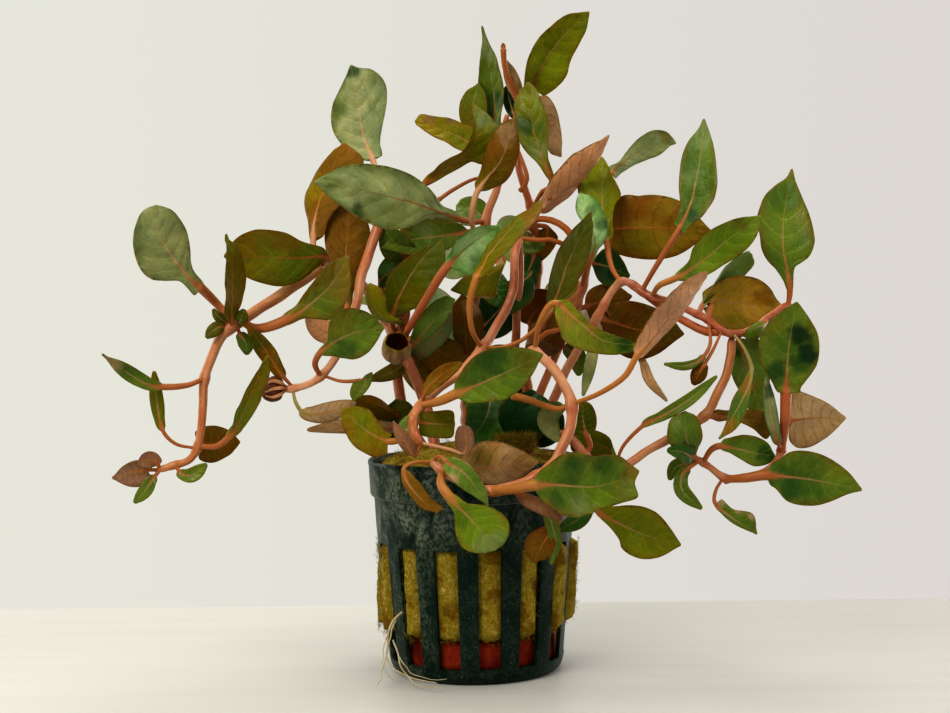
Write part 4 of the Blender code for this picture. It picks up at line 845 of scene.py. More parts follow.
    "leaf_middle_3": grow("darkOlive", ((393, 336, -3), (392, 320, 2), (400, 295, 5), (420, 262, 7),
        (443, 239, 7)), ((387, 305), (386, 290), (391, 275), (404, 261), (425, 248)), ((402, 314),
        (418, 307), (432, 296), (440, 280), (446, 258)), on="stem_left_long", roll=20, foot=(392, 318)),
    "leaf_middle_4": grow("green", ((424, 404, 29), (440, 401, 31.5), (458, 393, 33), (498, 376, 35),
        (543, 354, 35)), ((457, 383), (464, 367), (475, 355), (490, 348), (508, 346), (527, 348)),
        ((470, 401), (488, 401), (505, 398), (520, 389), (533, 373)), on="stem_middle",
        stalkTone="stalkOrange", stalkWide=2.2, roll=-10, cup=0.2, foot=(456, 394),
        marks=((492, 360, 21, "deepGreen", 0.75), (525, 362, 14, "darkOlive", 0.8),
        (505, 394, 11, "brightGreen", 0.7), (478, 397, 9, "brightGreen", 0.7))),
    "leaf_middle_5": grow("darkOlive", ((487, 344, 21), (503, 347, 23), (525, 338, 24), (549, 313, 23),
        (568, 262, 18), (591, 212, 13)), ((547, 304), (546, 292), (547, 278), (551, 264), (556, 250),
        (563, 238), (572, 228), (582, 219)), ((556, 308), (563, 298), (570, 291), (576, 280), (583, 266),
        (588, 246), (591, 228)), on="stem_middle", stalkTone="stalkOrange", stalkWide=1.05, roll=-40,
        cup=0.2, foot=(548, 313)),
    "leaf_middle_6": grow("deepGreen", ((468, 396, -10), (482, 392, 0), (490, 402, 7), (484, 422, 12),
        (468, 443, 16)), on="stem_upper_left", stalk=0.3, wide=12.5, roll=5),
    "leaf_front_1": grow("green", ((493, 491, 36), (513, 489, 38.5), (535, 485, 40.5), (560, 485, 41),
        (600, 486, 41), (639, 471, 38)), ((538, 477), (546, 466), (562, 454), (576, 451), (596, 456),
        (604, 454), (619, 456), (629, 463)), ((540, 493), (546, 501), (559, 512), (572, 517), (586, 515),
        (601, 509), (619, 503), (636, 497), (635, 482)), on="stem_front_loop", stalkTone="stalkOrange",
        stalkWide=2.6, roll=-10, cup=0.12, crinkle=0.9, foot=(535, 485),
        marks=((600, 500, 14, "brightGreen", 0.8), (550, 474, 9, "brightGreen", 0.7),
        (570, 482, 10, "deepGreen", 0.5), (548, 505, 9, "orangeBrown", 0.6),
        (632, 470, 12, "orangeOlive", 0.7), (600, 512, 9, "orangeOlive", 0.5),
        (575, 462, 12, "deepGreen", 0.8), (556, 500, 10, "deepGreen", 0.6),
        (602, 462, 14, "deepGreen", 0.7), (580, 505, 12, "greyGreen", 0.7), (620, 490, 14, "olive", 0.5))),
    "leaf_front_2": grow("brightGreen", ((438, 473, 35), (441, 484, 37), (448, 495, 39), (462, 510, 39.5),
        (482, 532, 39), (496, 550, 38)), ((466, 503), (476, 504), (486, 505), (497, 509), (506, 516),
        (510, 526), (508, 537), (503, 545)), ((454, 510), (455, 524), (457, 537), (463, 547), (473, 552),
        (485, 553)), on="stem_front_loop", stalkTone="stalkOrange", stalkWide=2.2, roll=-10, crinkle=0.35,
        foot=(450, 497), marks=((462, 520, 10, "deepGreen", 0.4), (485, 545, 14, "greyGreen", 0.7),
        (496, 540, 12, "greyGreen", 0.6))),
    "leaf_front_3": grow("yellowOlive", ((410, 434, 29), (400, 440, 28), (387, 441, 27), (366, 430, 26),
        (342, 409, 25)), ((388, 452), (377, 457), (366, 453), (355, 446), (346, 433), (341, 419)),
        ((392, 436), (386, 430), (379, 421), (369, 409), (355, 406)), on="stem_middle",
        stalkTone="stalkOrange", roll=12, foot=(388, 441), marks=((350, 428, 12, "brown", 0.55),
        (376, 452, 12, "brown", 0.55), (362, 424, 10, "brightOlive", 0.6))),
    "leaf_front_4": grow("warmBrown", ((449, 471, 31), (460, 470, 29), (490, 468, 28.5), (539, 462, 28)),
        ((461, 460), (469, 449), (483, 442), (499, 442), (512, 446), (526, 453)), ((464, 474), (473, 478),
        (482, 483), (496, 487), (512, 485), (526, 475)), on="stem_front_loop", back="olive", stalk=0.1,
        roll=-8, cup=-0.15, marks=((505, 452, 12, "greyBrown", 0.6), (515, 470, 18, "rosyBrown", 0.5),
        (480, 462, 14, "olive", 0.4))),
    "leaf_front_5": grow("brightOlive", ((602, 484, 27), (596, 497, 27.5), (598, 511, 28), (618, 523, 29),
        (648, 536, 30), (681, 545, 30)), ((602, 509), (618, 506), (633, 505), (646, 507), (659, 514),
        (672, 530)), ((610, 527), (620, 540), (622, 548), (633, 556), (646, 559), (662, 556)),
        on="stem_right_low", roll=-10, cup=0.12, foot=(597, 511)),
    "leaf_front_6": grow("darkOlive", ((586, 456, 20), (590, 446, 19.5), (586, 434, 19), (583, 418, 18.5),
        (583, 400, 18)), ((573, 433), (571, 422), (577, 407)), ((595, 431), (597, 418), (592, 405)),
        on="stem_right_low", roll=10, foot=(586, 435)),
    "leaf_right_1": grow("orangeBrown", ((592, 240, -6), (600, 234, -7), (615, 229, -8), (650, 227, -6),
        (685, 229, -3), (710, 230, 1)), ((603, 222), (608, 208), (616, 199), (626, 195), (638, 196),
        (649, 195), (662, 196), (673, 199), (684, 205), (698, 217)), ((606, 246), (614, 253), (625, 257),
        (636, 259), (650, 260), (664, 259), (678, 255), (691, 247), (703, 237)), on="stem_centre_right",
        back="green", roll=-5, cup=-0.1, foot=(607, 230), marks=((640, 245, 20, "olive", 0.6),
        (680, 215, 16, "brown", 0.6))),
    "leaf_right_2": grow("green", ((642, 291, 14), (655, 268, 17), (668, 247, 18.5), (680, 228, 19),
        (692, 200, 18.5), (700, 160, 17), (704, 119, 13)), ((677, 226), (680, 217), (681, 203), (680, 187),
        (681, 169), (684, 154), (689, 142), (697, 131)), ((681, 234), (689, 226), (702, 218), (711, 207),
        (716, 198), (719, 184), (718, 169), (715, 150), (710, 133)), on="stem_right_long", roll=25,
        crinkle=0.3, foot=(680, 229), marks=((692, 215, 9, "deepGreen", 0.9),
        (702, 135, 18, "greyGreen", 0.6))),
    "leaf_right_3": grow("brightGreen", ((650, 296, 16), (660, 285, 20), (676, 278, 20), (707, 257, 18),
        (735, 234, 17), (762, 216, 15)), ((680, 273), (688, 261), (692, 247), (706, 232), (722, 223),
        (740, 217)), ((685, 279), (697, 278), (706, 275), (724, 264), (741, 253), (751, 243), (758, 231)),
        on="stem_right_long", stalkTone="stalkOrange", roll=-22, crinkle=0.3, foot=(676, 278),
        marks=((690, 274, 9, "green", 0.6), (740, 222, 10, "darkOlive", 0.7))),
    "leaf_right_4": grow("tawny", ((712, 321, 13), (710, 309, 6), (716, 301, 0), (735, 303, -3),
        (755, 305, -5), (783, 307, -6)), ((703, 294), (709, 287), (728, 277), (746, 276), (760, 280),
        (770, 288), (776, 298)), ((702, 308), (709, 318), (722, 328), (735, 331), (752, 325), (771, 314)),
        on="stem_right_long", back="green", cup=0.05, foot=(704, 306),
        marks=((735, 320, 14, "yellowOlive", 0.8), (765, 295, 14, "brown", 0.7),
        (730, 290, 14, "yellowOlive", 0.5))),
    "leaf_right_5": grow("green", ((789, 303, 7), (790, 290, 8), (787, 268, 9), (783, 246, 9),
        (784, 215, 7), (792, 169, 4)), ((786, 281), (777, 270), (768, 261), (762, 250), (760, 236),
        (757, 221), (760, 208), (765, 196), (775, 186), (787, 177)), ((792, 276), (795, 267), (801, 263),
        (810, 256), (815, 243), (814, 232), (810, 216), (803, 199), (796, 182)), on="stem_right_long",
        roll=8, cup=0.1, crinkle=0.2, foot=(790, 290), marks=((805, 215, 14, "brightOlive", 0.8),
        (792, 172, 10, "olive", 0.6))),
    "leaf_right_6": grow("green", ((783, 447, 16), (785, 420, 17), (786, 393, 18), (787, 372, 20),
        (789, 345, 22), (797, 302, 24)), ((783, 392), (776, 384), (766, 372), (759, 357), (758, 344),
        (762, 330), (773, 317), (786, 308)), ((796, 392), (799, 387), (804, 382), (811, 373), (817, 362),
        (819, 346), (817, 332), (810, 319), (803, 309)), on="stem_right_long", stalkTone="stemRed",
        stalkWide=2.6, roll=-8, foot=(786, 392), marks=((775, 372, 14, "deepGreen", 0.9),
        (800, 360, 14, "deepGreen", 0.9), (800, 335, 14, "shadeBlack", 0.95), (807, 352, 13, "shadeBlack", 0.95),
        (812, 325, 7, "olive", 0.8), (775, 325, 12, "olive", 0.6))),
    "leaf_right_7": grow("pinkBrown", ((574, 402, 33), (600, 393, 36), (625, 376, 38), (637, 356, 38),
        (668, 318, 36), (707, 272, 32)), on="stem_front_loop", back="olive", stalkTone="stalkOrange",
        stalkWide=1.35, stalk=0.45, wide=8.4, roll=-52, cup=-0.2),
    "leaf_right_8": grow("deepBrown", ((602, 316, 8), (612, 322, 4), (640, 330, 2), (684, 334, 0)),
        ((612, 305), (628, 301), (648, 305), (670, 316)), ((610, 345), (625, 357), (641, 360), (657, 355),
        (672, 344)), on="stem_right_long", back="green", stalk=0.1, roll=-5, cup=-0.1),
    "leaf_right_9": grow("brightOlive", ((533, 347, 25), (540, 322, 28), (554, 303, 29), (575, 318, 29),
        (605, 341, 28), (644, 346, 26)), ((568, 302), (578, 311), (590, 324), (605, 332), (626, 340)),
        ((557, 322), (563, 340), (580, 350), (602, 355), (625, 354)), on="stem_front_loop",
        stalkTone="stalkOrange", roll=20, cup=0.12, foot=(556, 305),
        marks=((566, 318, 12, "orangeOlive", 0.5), (615, 343, 16, "green", 0.6),
        (625, 345, 12, "deepGreen", 0.9), (590, 330, 7, "stalkOrange", 0.3))),
    "leaf_right_10": grow("amber", ((704, 414, 25), (718, 416, 22), (745, 419, 18), (775, 424, 16)),
        ((718, 411), (735, 410), (755, 409), (768, 413)), ((720, 420), (735, 421), (752, 428), (766, 438)),
        on="stem_right_low", back="green", stalk=0.12, roll=-20, cup=0.2),
    "leaf_right_11": grow("paleBrown", ((787, 424, 9), (794, 420, 7), (815, 418, 5), (846, 418, 3)),
        ((789, 400), (794, 390), (808, 394), (826, 402), (837, 410)), ((790, 440), (798, 448), (811, 447),
        (824, 440), (835, 431)), on="stem_right_long", back="olive", roll=-5, cup=-0.08, foot=(790, 422)),
    "leaf_right_12": grow("green", ((728, 479, 20), (745, 478, 21), (766, 475, 22), (790, 477, 22.5),
        (820, 481, 23.5), (862, 490, 25)), ((774, 464), (780, 459), (789, 452), (802, 450), (816, 452),
        (830, 458), (843, 467), (853, 477)), ((771, 481), (775, 485), (780, 493), (788, 501), (803, 505),
        (818, 505), (832, 501), (846, 495)), on="stem_right_long", stalkWide=2.4, roll=-10, cup=0.12,
        foot=(768, 475), marks=((800, 478, 30, "deepGreen", 0.5), (790, 490, 12, "deepGreen", 0.6),
        (835, 470, 12, "brightOlive", 0.6))),
    "leaf_right_13": grow("green", ((705, 460, 20), (711, 450, 22), (720, 446, 23), (740, 449, 23),
        (756, 453, 22), (775, 456, 21)), ((724, 441), (731, 437), (743, 434), (756, 436), (768, 443)),
        ((725, 449), (731, 453), (741, 459), (752, 465), (763, 465), (771, 462)), on="stem_right_long",
        roll=-15, foot=(721, 446), marks=((765, 455, 12, "deepGreen", 0.8),)),
}

# Small leaves, twigs and buds, by the stem that they grow on
sprigs = {
    "stem_left_long": (
        grow("rosyBrown", ((158, 470, 14), (145, 470, 14), (130, 473, 14), (112, 478, 14)), ((153, 481),
            (145, 486), (131, 487), (120, 483)), ((152, 464), (137, 460), (123, 466)), stalkWide=0.9,
            cup=0.3),
        grow("rosyBrown", ((160, 468, 14), (156, 462, 15), (150, 460, 15.5), (138, 464, 16)), wide=4,
            cup=0.3),
        grow("green", ((160, 470, 14), (152, 480, 15), (145, 491, 16), (134, 503, 16)), wide=3.2),
        grow("green", ((175, 465, 14), (182, 474, 16), (192, 475, 16), (207, 464, 16)), wide=3.4),
        grow("olive", ((196, 448, 14), (176, 444, 16), (163, 431, 17), (157, 402, 18), (154, 371, 19)),
            stalk=0.42, wide=3.2, cup=-0.2),
        grow("green", ((238, 326, 13), (240, 334, 13), (246, 344, 13), (247, 355, 13)), stalk=0.3, wide=3.6,
            cup=0.3, plump=0.5),
        grow("olive", ((238, 324, 14), (240, 321, 15), (242, 316, 16), (244, 309, 16)), wide=3.2, cup=0.3,
            plump=0.5),
        grow("darkOlive", ((228, 328, 13.5), (220, 327, 15), (213, 331, 16), (206, 338, 16)), wide=3.2,
            cup=0.3, plump=0.4),
        grow("darkOlive", ((228, 326, 13.5), (221, 319, 15), (217, 315, 15.5), (213, 309, 16)), wide=2.4,
            cup=0.3, plump=0.4),
        grow("freshGreen", ((404, 354, -6), (415, 343, 0), (430, 325, 4), (455, 299, 5)), ((412, 335),
            (419, 318), (433, 303), (447, 296)), ((420, 343), (436, 332), (449, 316)), stalkWide=0.9,
            roll=10),
        grow("greyGreen", ((404, 356, -8), (412, 360, -6), (428, 347, -3), (452, 313, -2)), ((408, 345),
            (418, 335), (436, 322)), ((422, 358), (437, 349), (451, 332)), roll=-10),
        twig(1.3, (406, 318, -3), (403, 324, 3), (400, 331, 5), (397, 342, 5)),
        grow("yellowOlive", ((411, 312, 4), (405, 321, 7), (395, 323, 8), (383, 318, 9), (373, 303, 10),
            (370, 283, 10)), ((386, 324), (373, 318), (366, 305), (365, 291)), ((388, 313), (386, 300),
            (380, 288)), stalkWide=0.9, stalk=0.34, roll=20, cup=-0.2),
    ),
    "stem_left_short": (
        grow("darkRed", ((292, 388, 15), (285, 388, 15), (277, 388, 15), (261, 393, 15)), ((281, 399),
            (272, 402), (264, 399)), ((282, 379), (273, 376), (265, 382)), rib="stalkPale", stalkWide=1.2,
            stalk=0.25, cup=0, plump=0.9),
        grow("stalkPale", ((287, 388, 16), (281, 383, 17.5), (273, 381, 17.9), (265, 384, 17.3)),
            stalkWide=0.5, stalk=0.1, wide=0.9, cup=-0.3),
        grow("stalkPale", ((287, 388, 17), (281, 388, 18.2), (273, 389, 18.3), (266, 392, 17.4)),
            stalkWide=0.5, stalk=0.1, wide=0.8, cup=-0.3),
        grow("stalkPale", ((287, 389, 16), (281, 394, 17.5), (273, 397, 17.6), (266, 396, 17)),
            stalkWide=0.5, stalk=0.1, wide=0.8, cup=-0.3),
        grow("brown", ((294, 388, 15), (282, 375, 17), (267, 352, 19), (248, 326, 21)), wide=4.4, roll=20,
            marks=((258, 342, 12, "deepGreen", 0.7),)),
        grow("greyBrown", ((293, 388, 15), (296, 403, 17), (304, 413, 17), (325, 413, 16), (356, 402, 13)),
            stalkTone="stalkGreen", stalk=0.3, wide=4.6, cup=-0.2),
        grow("green", ((322, 375, 12), (340, 381, 14), (355, 381, 15), (366, 380, 15), (362, 389, 15),
            (353, 401, 15)), ((372, 372), (371, 384), (362, 396)), ((356, 378), (351, 387), (350, 395)),
            stalkWide=0.9, stalk=0.55, cup=0.1),
        grow("green", ((408, 262, -11), (401, 252, -5), (392, 240, -3), (383, 226, -3)), wide=8, roll=15),
        grow("orangeBrown", ((404, 330, -12), (410, 345, -12), (424, 368, -11), (430, 398, -9)), wide=11,
            cup=-0.2, marks=((410, 392, 9, "brightOlive", 0.7),)),
        grow("brown", ((403, 336, -14), (418, 342, -10), (440, 352, -8), (468, 366, -7)), ((422, 364),
            (440, 374), (458, 374)), ((420, 336), (442, 336), (462, 346))),
        grow("green", ((404, 318, -12), (396, 310, -20), (382, 298, -30), (368, 292, -38)), wide=11,
            roll=-30),
        grow("deepGreen", ((404, 416, -13), (404, 432, -11), (402, 438, -10), (399, 420, -8),
            (396, 399, -7)), ((388, 436), (381, 424), (383, 410)), ((413, 430), (417, 415), (409, 402)),
            stalk=0.36, marks=((400, 410, 12, "olive", 0.7),)),
        grow("deepGreen", ((403, 300, -13), (390, 295, -11), (378, 284, -10), (395, 268, -9),
            (416, 256, -9)), ((378, 270), (386, 257), (400, 249)), ((392, 285), (405, 276), (413, 265)),
            stalk=0.35, marks=((385, 268, 10, "glossyGreen", 0.6),)),
        grow("pinkBrown", ((345, 338, 9), (336, 336, 5), (322, 330, 4), (306, 317, 4)), wide=5.5, cup=-0.1),
        grow("green", ((397, 370, -15), (408, 361, -9), (392, 372, -3), (369, 380, 1)), wide=4),
        grow("greyBrown", ((409, 426, -13), (385, 428, 0), (345, 426, 7), (307, 430, 9)), wide=4, cup=-0.1),
        grow("brown", ((404, 418, -12), (392, 412, -4), (376, 404, 1), (355, 397, 4)), ((386, 420),
            (370, 422), (356, 417)), ((384, 401), (370, 396), (356, 396)), cup=-0.2),
    ),
    "stem_middle": (
        grow("orangeBrown", ((417, 402, 27), (428, 388, 29), (444, 373, 29), (462, 363, 28)), wide=3.6),
        grow("rosyBrown", ((418, 447, 31), (414, 456, 33), (406, 443, 34.5), (393, 421, 34.5)), ((405, 452),
            (396, 440), (393, 430)), ((416, 446), (407, 433), (399, 425)), stalkWide=0.9),
        grow("rosyBrown", ((418, 442, 31), (435, 446, 32), (451, 450, 33), (464, 454, 33), (466, 442, 33),
            (464, 425, 33)), ((456, 448), (455, 436), (458, 427)), ((473, 448), (474, 436), (470, 427)),
            stalkTone="stalkPale", stalkWide=0.9, stalk=0.55),
        grow("olive", ((413, 420, 29), (420, 422, 28), (437, 424, 27), (455, 424, 26)), ((418, 413),
            (435, 411), (452, 411)), ((419, 434), (436, 438), (452, 437))),
        grow("green", ((508, 400, -10), (500, 388, -4), (512, 372, 0), (522, 350, 2)), wide=5),
        grow("freshGreen", ((414, 434, 30), (408, 441, 30), (406, 430, 30), (418, 414, 29)), wide=4),
    ),
    "stem_front_loop": (
        grow("orangeOlive", ((433, 462, 32), (416, 462, 34), (404, 468, 35), (406, 480, 35.5),
            (419, 497, 36), (438, 513, 36)), ((411, 474), (421, 484), (431, 498), (443, 508)), ((402, 482),
            (409, 494), (421, 508)), stalkTone="stalkOrange", stalkWide=0.9, stalk=0.38, cup=0.3),
        grow("freshGreen", ((434, 462, 32), (438, 456, 34), (447, 462, 35.5), (467, 476, 36.5),
            (488, 506, 36.5)), ((456, 458), (470, 465), (480, 478), (487, 491)), ((446, 473), (458, 486),
            (473, 496)), back="pinkBrown", stalkWide=0.9, stalk=0.25,
            marks=((452, 480, 8, "pinkBrown", 0.7),)),
        grow("rosyBrown", ((503, 489, 35.3), (514, 492, 36), (536, 503, 36.5), (562, 520, 36.5)),
            ((530, 494), (548, 502), (560, 512)), ((521, 504), (539, 514), (552, 519)), stalkWide=0.9,
            cup=-0.1),
        grow("green", ((557, 520, 31), (556, 540, 29.5), (554, 552, 29), (551, 565, 29)), wide=3, cup=0.15),
        grow("redBrown", ((551, 466, 34), (562, 498, 31), (558, 520, 30), (544, 542, 30), (533, 563, 30)),
            ((556, 529), (558, 545), (551, 557)), ((537, 529), (527, 537), (525, 551)), stalk=0.55,
            cup=-0.3),
        grow("stalkOrange", ((571, 404, 31), (560, 409, 29), (546, 406, 28), (529, 400, 26),
            (511, 395, 24)), stalkTone="stalkOrange", stalkWide=1.7, stalk=0.95, wide=2, cup=0.1),
        grow("greyGreen", ((571, 408, 31), (556, 410, 26), (548, 420, 24), (558, 442, 23)), wide=5),
        # Two near-black leaves fill the dark hollow over the wool: painted shade
        grow("shadeBlack", ((512, 452, 8), (508, 440, 14), (516, 416, 16), (532, 390, 15)), ((503, 430),
            (498, 412), (506, 398)), ((536, 442), (549, 424), (549, 402)), rib="deepGreen", stalk=0.1,
            cup=0.1),
        grow("shadeBlack", ((524, 452, 8), (530, 440, 13), (542, 424, 14), (556, 404, 13)), ((520, 432),
            (530, 415), (542, 400)), ((548, 446), (562, 436), (564, 418)), rib="deepGreen", stalk=0.1,
            cup=0.1),
    ),
    "stem_upper_left": (
        grow("olive", ((503, 140, -13), (495, 137, -17), (484, 130, -20), (473, 110, -21), (479, 83, -22)),
            ((474, 133), (462, 122), (461, 105), (467, 92)), ((488, 120), (488, 104), (485, 92)), roll=20),
        grow("brown", ((470, 368, -19), (467, 358, -12), (465, 325, -8), (462, 294, -6)), ((455, 345),
            (452, 325), (453, 306)), ((478, 352), (484, 330), (478, 305)), stalk=0.1, cup=-0.2,
            marks=((472, 306, 12, "greyBrown", 0.8), (458, 330, 9, "olive", 0.5))),
        grow("green", ((477, 282, -16), (464, 266, -26), (447, 252, -36), (430, 240, -44)), wide=11,
            roll=20),
        grow("green", ((470, 342, -20), (456, 330, -30), (436, 310, -41), (415, 290, -50)), wide=12,
            roll=20),
        grow("freshGreen", ((487, 222, -12), (484, 218, -16), (472, 208, -18), (456, 206, -19)),
            ((479, 226), (465, 226), (456, 217)), ((488, 205), (475, 197), (462, 199))),
        grow("deepGreen", ((478, 285, -16), (484, 276, -13), (494, 288, -11), (506, 308, -10)), wide=7.5),
        grow("green", ((485, 228, -12), (468, 232, -8), (440, 236, -5), (410, 240, -4), (380, 248, -3)),
            ((450, 248), (425, 257), (400, 253)), ((458, 224), (435, 219), (412, 222), (395, 236)),
            marks=((405, 236, 8, "orangeOlive", 0.5), (425, 230, 12, "greyGreen", 0.6))),
        grow("greyBrown", ((484, 240, -10), (505, 262, -2), (485, 276, 1), (451, 290, 3)), ((495, 297),
            (480, 298), (462, 295)), ((498, 264), (478, 270), (462, 278)), cup=-0.2,
            marks=((485, 270, 10, "yellowOlive", 0.7),)),
        # A near-black leaf fills the dark gap behind the stems here: painted shade
        grow("shadeBlack", ((470, 342, -20), (478, 332, -25), (497, 312, -28), (520, 282, -30)), wide=12,
            cup=0.1),
        grow("deepBrown", ((467, 380, -16), (480, 372, -22), (500, 368, -24), (530, 360, -26)), wide=12,
            cup=0.1),
        # A near-black leaf fills the dark hollow over the wool: painted shade
        grow("shadeBlack", ((468, 420, -10), (480, 418, -13), (505, 412, -14), (545, 400, -15)), wide=12,
            cup=0.1),
        grow("stalkGreen", ((497, 180, -11), (478, 178, -9), (456, 188, -8), (434, 203, -7)), stalkWide=1,
            stalk=0.9, wide=1.5, cup=0.15),
    ),
    "stem_top": (
        grow("stalkRed", ((520, 112, -17), (514, 92, -17), (505, 68, -15), (503, 43, -13)), stalkWide=1.4,
            stalk=0.9, wide=1.2, cup=0),
        grow("greyBrown", ((522, 116, -17), (519, 100, -18), (513, 82, -18), (505, 60, -17)), wide=3.8,
            cup=-0.1, marks=((520, 86, 6, "olive", 0.7),)),
        grow("shadeBlack", ((520, 122, -17), (513, 112, -20), (510, 102, -20), (506, 86, -20)), wide=3.4,
            cup=0.1),
        grow("greyBrown", ((519, 118, -17), (533, 103, -23), (547, 118, -24), (561, 157, -23)), ((545, 95),
            (555, 106), (560, 125), (562, 142)), ((540, 118), (544, 138), (550, 153)), cup=-0.2),
        grow("olive", ((533, 328, -28), (546, 318, -38), (560, 300, -48), (575, 275, -56)), wide=12,
            roll=-20),
        grow("green", ((538, 270, -24), (528, 252, -34), (512, 236, -45), (496, 226, -54)), wide=11.5,
            roll=20),
        grow("green", ((535, 235, -19), (527, 241, -12), (532, 246, -9), (545, 245, -8)), wide=5),
        grow("brown", ((534, 225, -18), (547, 228, -18), (543, 245, -19), (526, 266, -20)), ((558, 236),
            (552, 251), (540, 262)), ((530, 236), (525, 250))),
        grow("deepGreen", ((520, 402, -24), (514, 408, -19), (517, 424, -14), (524, 443, -11)), rib="green",
            wide=12),
        grow("redBrown", ((526, 350, -27), (530, 345, -10), (545, 340, 2), (566, 340, 3)), ((540, 358),
            (552, 356), (562, 350)), ((532, 326), (546, 320), (560, 328)), roll=20, cup=0.1),
        grow("deepGreen", ((540, 262, -22), (530, 275, -16), (512, 290, -12), (500, 308, -10)), ((516, 275),
            (505, 285), (498, 298)), ((532, 300), (520, 310), (508, 315)), cup=0.1),
        grow("deepGreen", ((536, 245, -20), (532, 262, -18), (527, 275, -17), (528, 297, -16)), wide=6),
        grow("redBrown", ((532, 330, -28), (530, 320, -25), (540, 308, -22), (560, 300, -20)), wide=10,
            cup=0.1),
        twig(1.7, (535, 232, -18), (522, 222, -12), (545, 219, -10), (563, 226, -8), (576, 241, -7),
            front="stemPink"),
        twig(1.2, (534, 225, -18), (516, 236, -9), (535, 240, -6), (552, 240, -5), (574, 249, -7),
            front="stemPink"),
        twig(1.2, (534, 212, -16), (537, 200, -10), (545, 189, -8), (553, 192, -7), (548, 199, -6)),
        twig(1.2, (516, 145, -17), (524, 166, -13), (527, 180, -11), (520, 192, -10)),
    ),
    "stem_centre_right": (
        grow("brown", ((560, 345, -10), (578, 332, -22), (600, 318, -33), (622, 308, -42)), wide=11,
            roll=-20),
        grow("green", ((560, 345, -10), (568, 349, -7), (577, 357, -6), (579, 376, -6)), wide=4.5),
        grow("brown", ((577, 305, -6), (566, 316, -1), (554, 327, 3), (540, 340, 5)), wide=5),
        grow("deepGreen", ((586, 262, -4), (598, 264, -8), (612, 268, -9), (630, 276, -9)), ((600, 250),
            (612, 248), (624, 262)), ((594, 276), (606, 286), (622, 286)), stalkWide=0.9,
            marks=((612, 275, 8, "shadeBlack", 0.8),)),
        grow("redBrown", ((577, 312, -6), (588, 306, -8), (605, 300, -9), (632, 296, -9)), ((588, 292),
            (602, 284), (618, 286)), ((594, 322), (608, 318), (622, 310)), cup=-0.2),
        twig(1.5, (584, 290, -4), (571, 300, 2), (556, 308, 4), (545, 318, 5), (540, 333, 5)),
        twig(1.3, (577, 305, -6), (569, 322, 3), (560, 330, 5), (548, 332, 6), (536, 342, 6)),
    ),
    "stem_right_long": (
        grow("freshGreen", ((698, 315, 17), (706, 298, 0), (715, 288, -8), (730, 272, -9), (752, 254, -10)),
            ((722, 268), (735, 257), (748, 250)), ((724, 285), (742, 275), (753, 263)), roll=-30),
        grow("green", ((733, 333, 17), (745, 350, 20), (752, 374, 22), (740, 404, 25), (719, 439, 27)),
            ((751, 392), (746, 413), (735, 430)), ((741, 385), (732, 400), (726, 422)),
            stalkTone="stalkGreen", stalkWide=0.9, stalk=0.35, marks=((748, 384, 12, "orangeBrown", 0.85),
            (726, 428, 13, "orangeBrown", 0.8))),
        grow("deepBrown", ((722, 331, 18), (713, 350, 22), (706, 362, 23), (700, 372, 23), (693, 385, 23)),
            stalkWide=0.8, stalk=0.64, wide=3.6, plump=0.6),
        grow("green", ((708, 321, 17.5), (710, 345, 22), (700, 360, 24), (685, 366, 25), (664, 364, 25)),
            stalk=0.5, wide=2, cup=0),
        grow("green", ((697, 459, 20), (690, 449, 26), (686, 434, 30), (685, 411, 30)), ((676, 448),
            (667, 436), (670, 420)), ((697, 447), (702, 432), (697, 417)), cup=0.3,
            marks=((685, 446, 6, "shadeBlack", 0.8), (676, 425, 8, "greyGreen", 0.5))),
        grow("deepGreen", ((696, 458, 20), (690, 456, 25), (682, 452, 28), (667, 450, 29)), wide=4.2),
        grow("green", ((723, 480, 18), (716, 490, 19), (715, 503, 19.5), (731, 517, 20), (757, 534, 20)),
            ((722, 500), (733, 509), (753, 514)), ((719, 511), (732, 523), (748, 531)), stalkWide=0.9,
            stalk=0.35, marks=((720, 502, 7, "greyBrown", 0.8), (738, 508, 6, "greyBrown", 0.8),
            (752, 516, 6, "greyBrown", 0.8))),
        grow("green", ((700, 461, 20), (683, 474, 22), (682, 490, 23), (702, 509, 23)), wide=3.4),
        grow("green", ((697, 459, 20), (688, 463, 18), (676, 467, 17), (669, 480, 17)), wide=3.4),
        grow("greyGreen", ((594, 323, 9), (594, 342, 13), (590, 366, 15), (583, 396, 16)), wide=2.8, cup=0),
        grow("greyBrown", ((606, 303, 6), (622, 335, -4), (640, 356, -3), (650, 381, 8), (667, 401, 14)),
            stalkWide=0.8, stalk=0.5, wide=2.4, cup=0),
        grow("green", ((768, 318, 11), (763, 325, 14), (754, 329, 16), (743, 336, 16)), ((759, 338),
            (751, 341)), ((757, 322), (748, 328)), stalkWide=0.9, cup=0.15, plump=0.4),
        grow("greyGreen", ((784, 452, 12), (777, 440, 18), (771, 415, 19), (766, 377, 19)), wide=3.2,
            cup=-0.1, marks=((770, 392, 9, "shadeBlack", 0.8),)),
        grow("freshGreen", ((733, 333, 15), (740, 345, 13), (748, 370, 12), (757, 402, 11), (766, 436, 10)),
            ((757, 338), (768, 360), (770, 390), (770, 415)), ((729, 352), (732, 376), (742, 396),
            (753, 418)), stalk=0.1, cup=0.1, marks=((738, 352, 6, "deepGreen", 0.8),
            (762, 420, 16, "yellowOlive", 0.8), (755, 385, 8, "orangeOlive", 0.5))),
        twig(2, (636, 288, 11), (660, 306, 13), (688, 323, 15), (708, 332, 17), (724, 331, 18),
            front="stemRed", stalkTone="stemRed"),
    ),
    "stem_right_low": (
        grow("green", ((615, 472, 25), (622, 448, 28), (645, 424, 30), (662, 416, 30), (690, 399, 30),
            (717, 376, 28)), stalk=0.4, wide=2.8, cup=0.3),
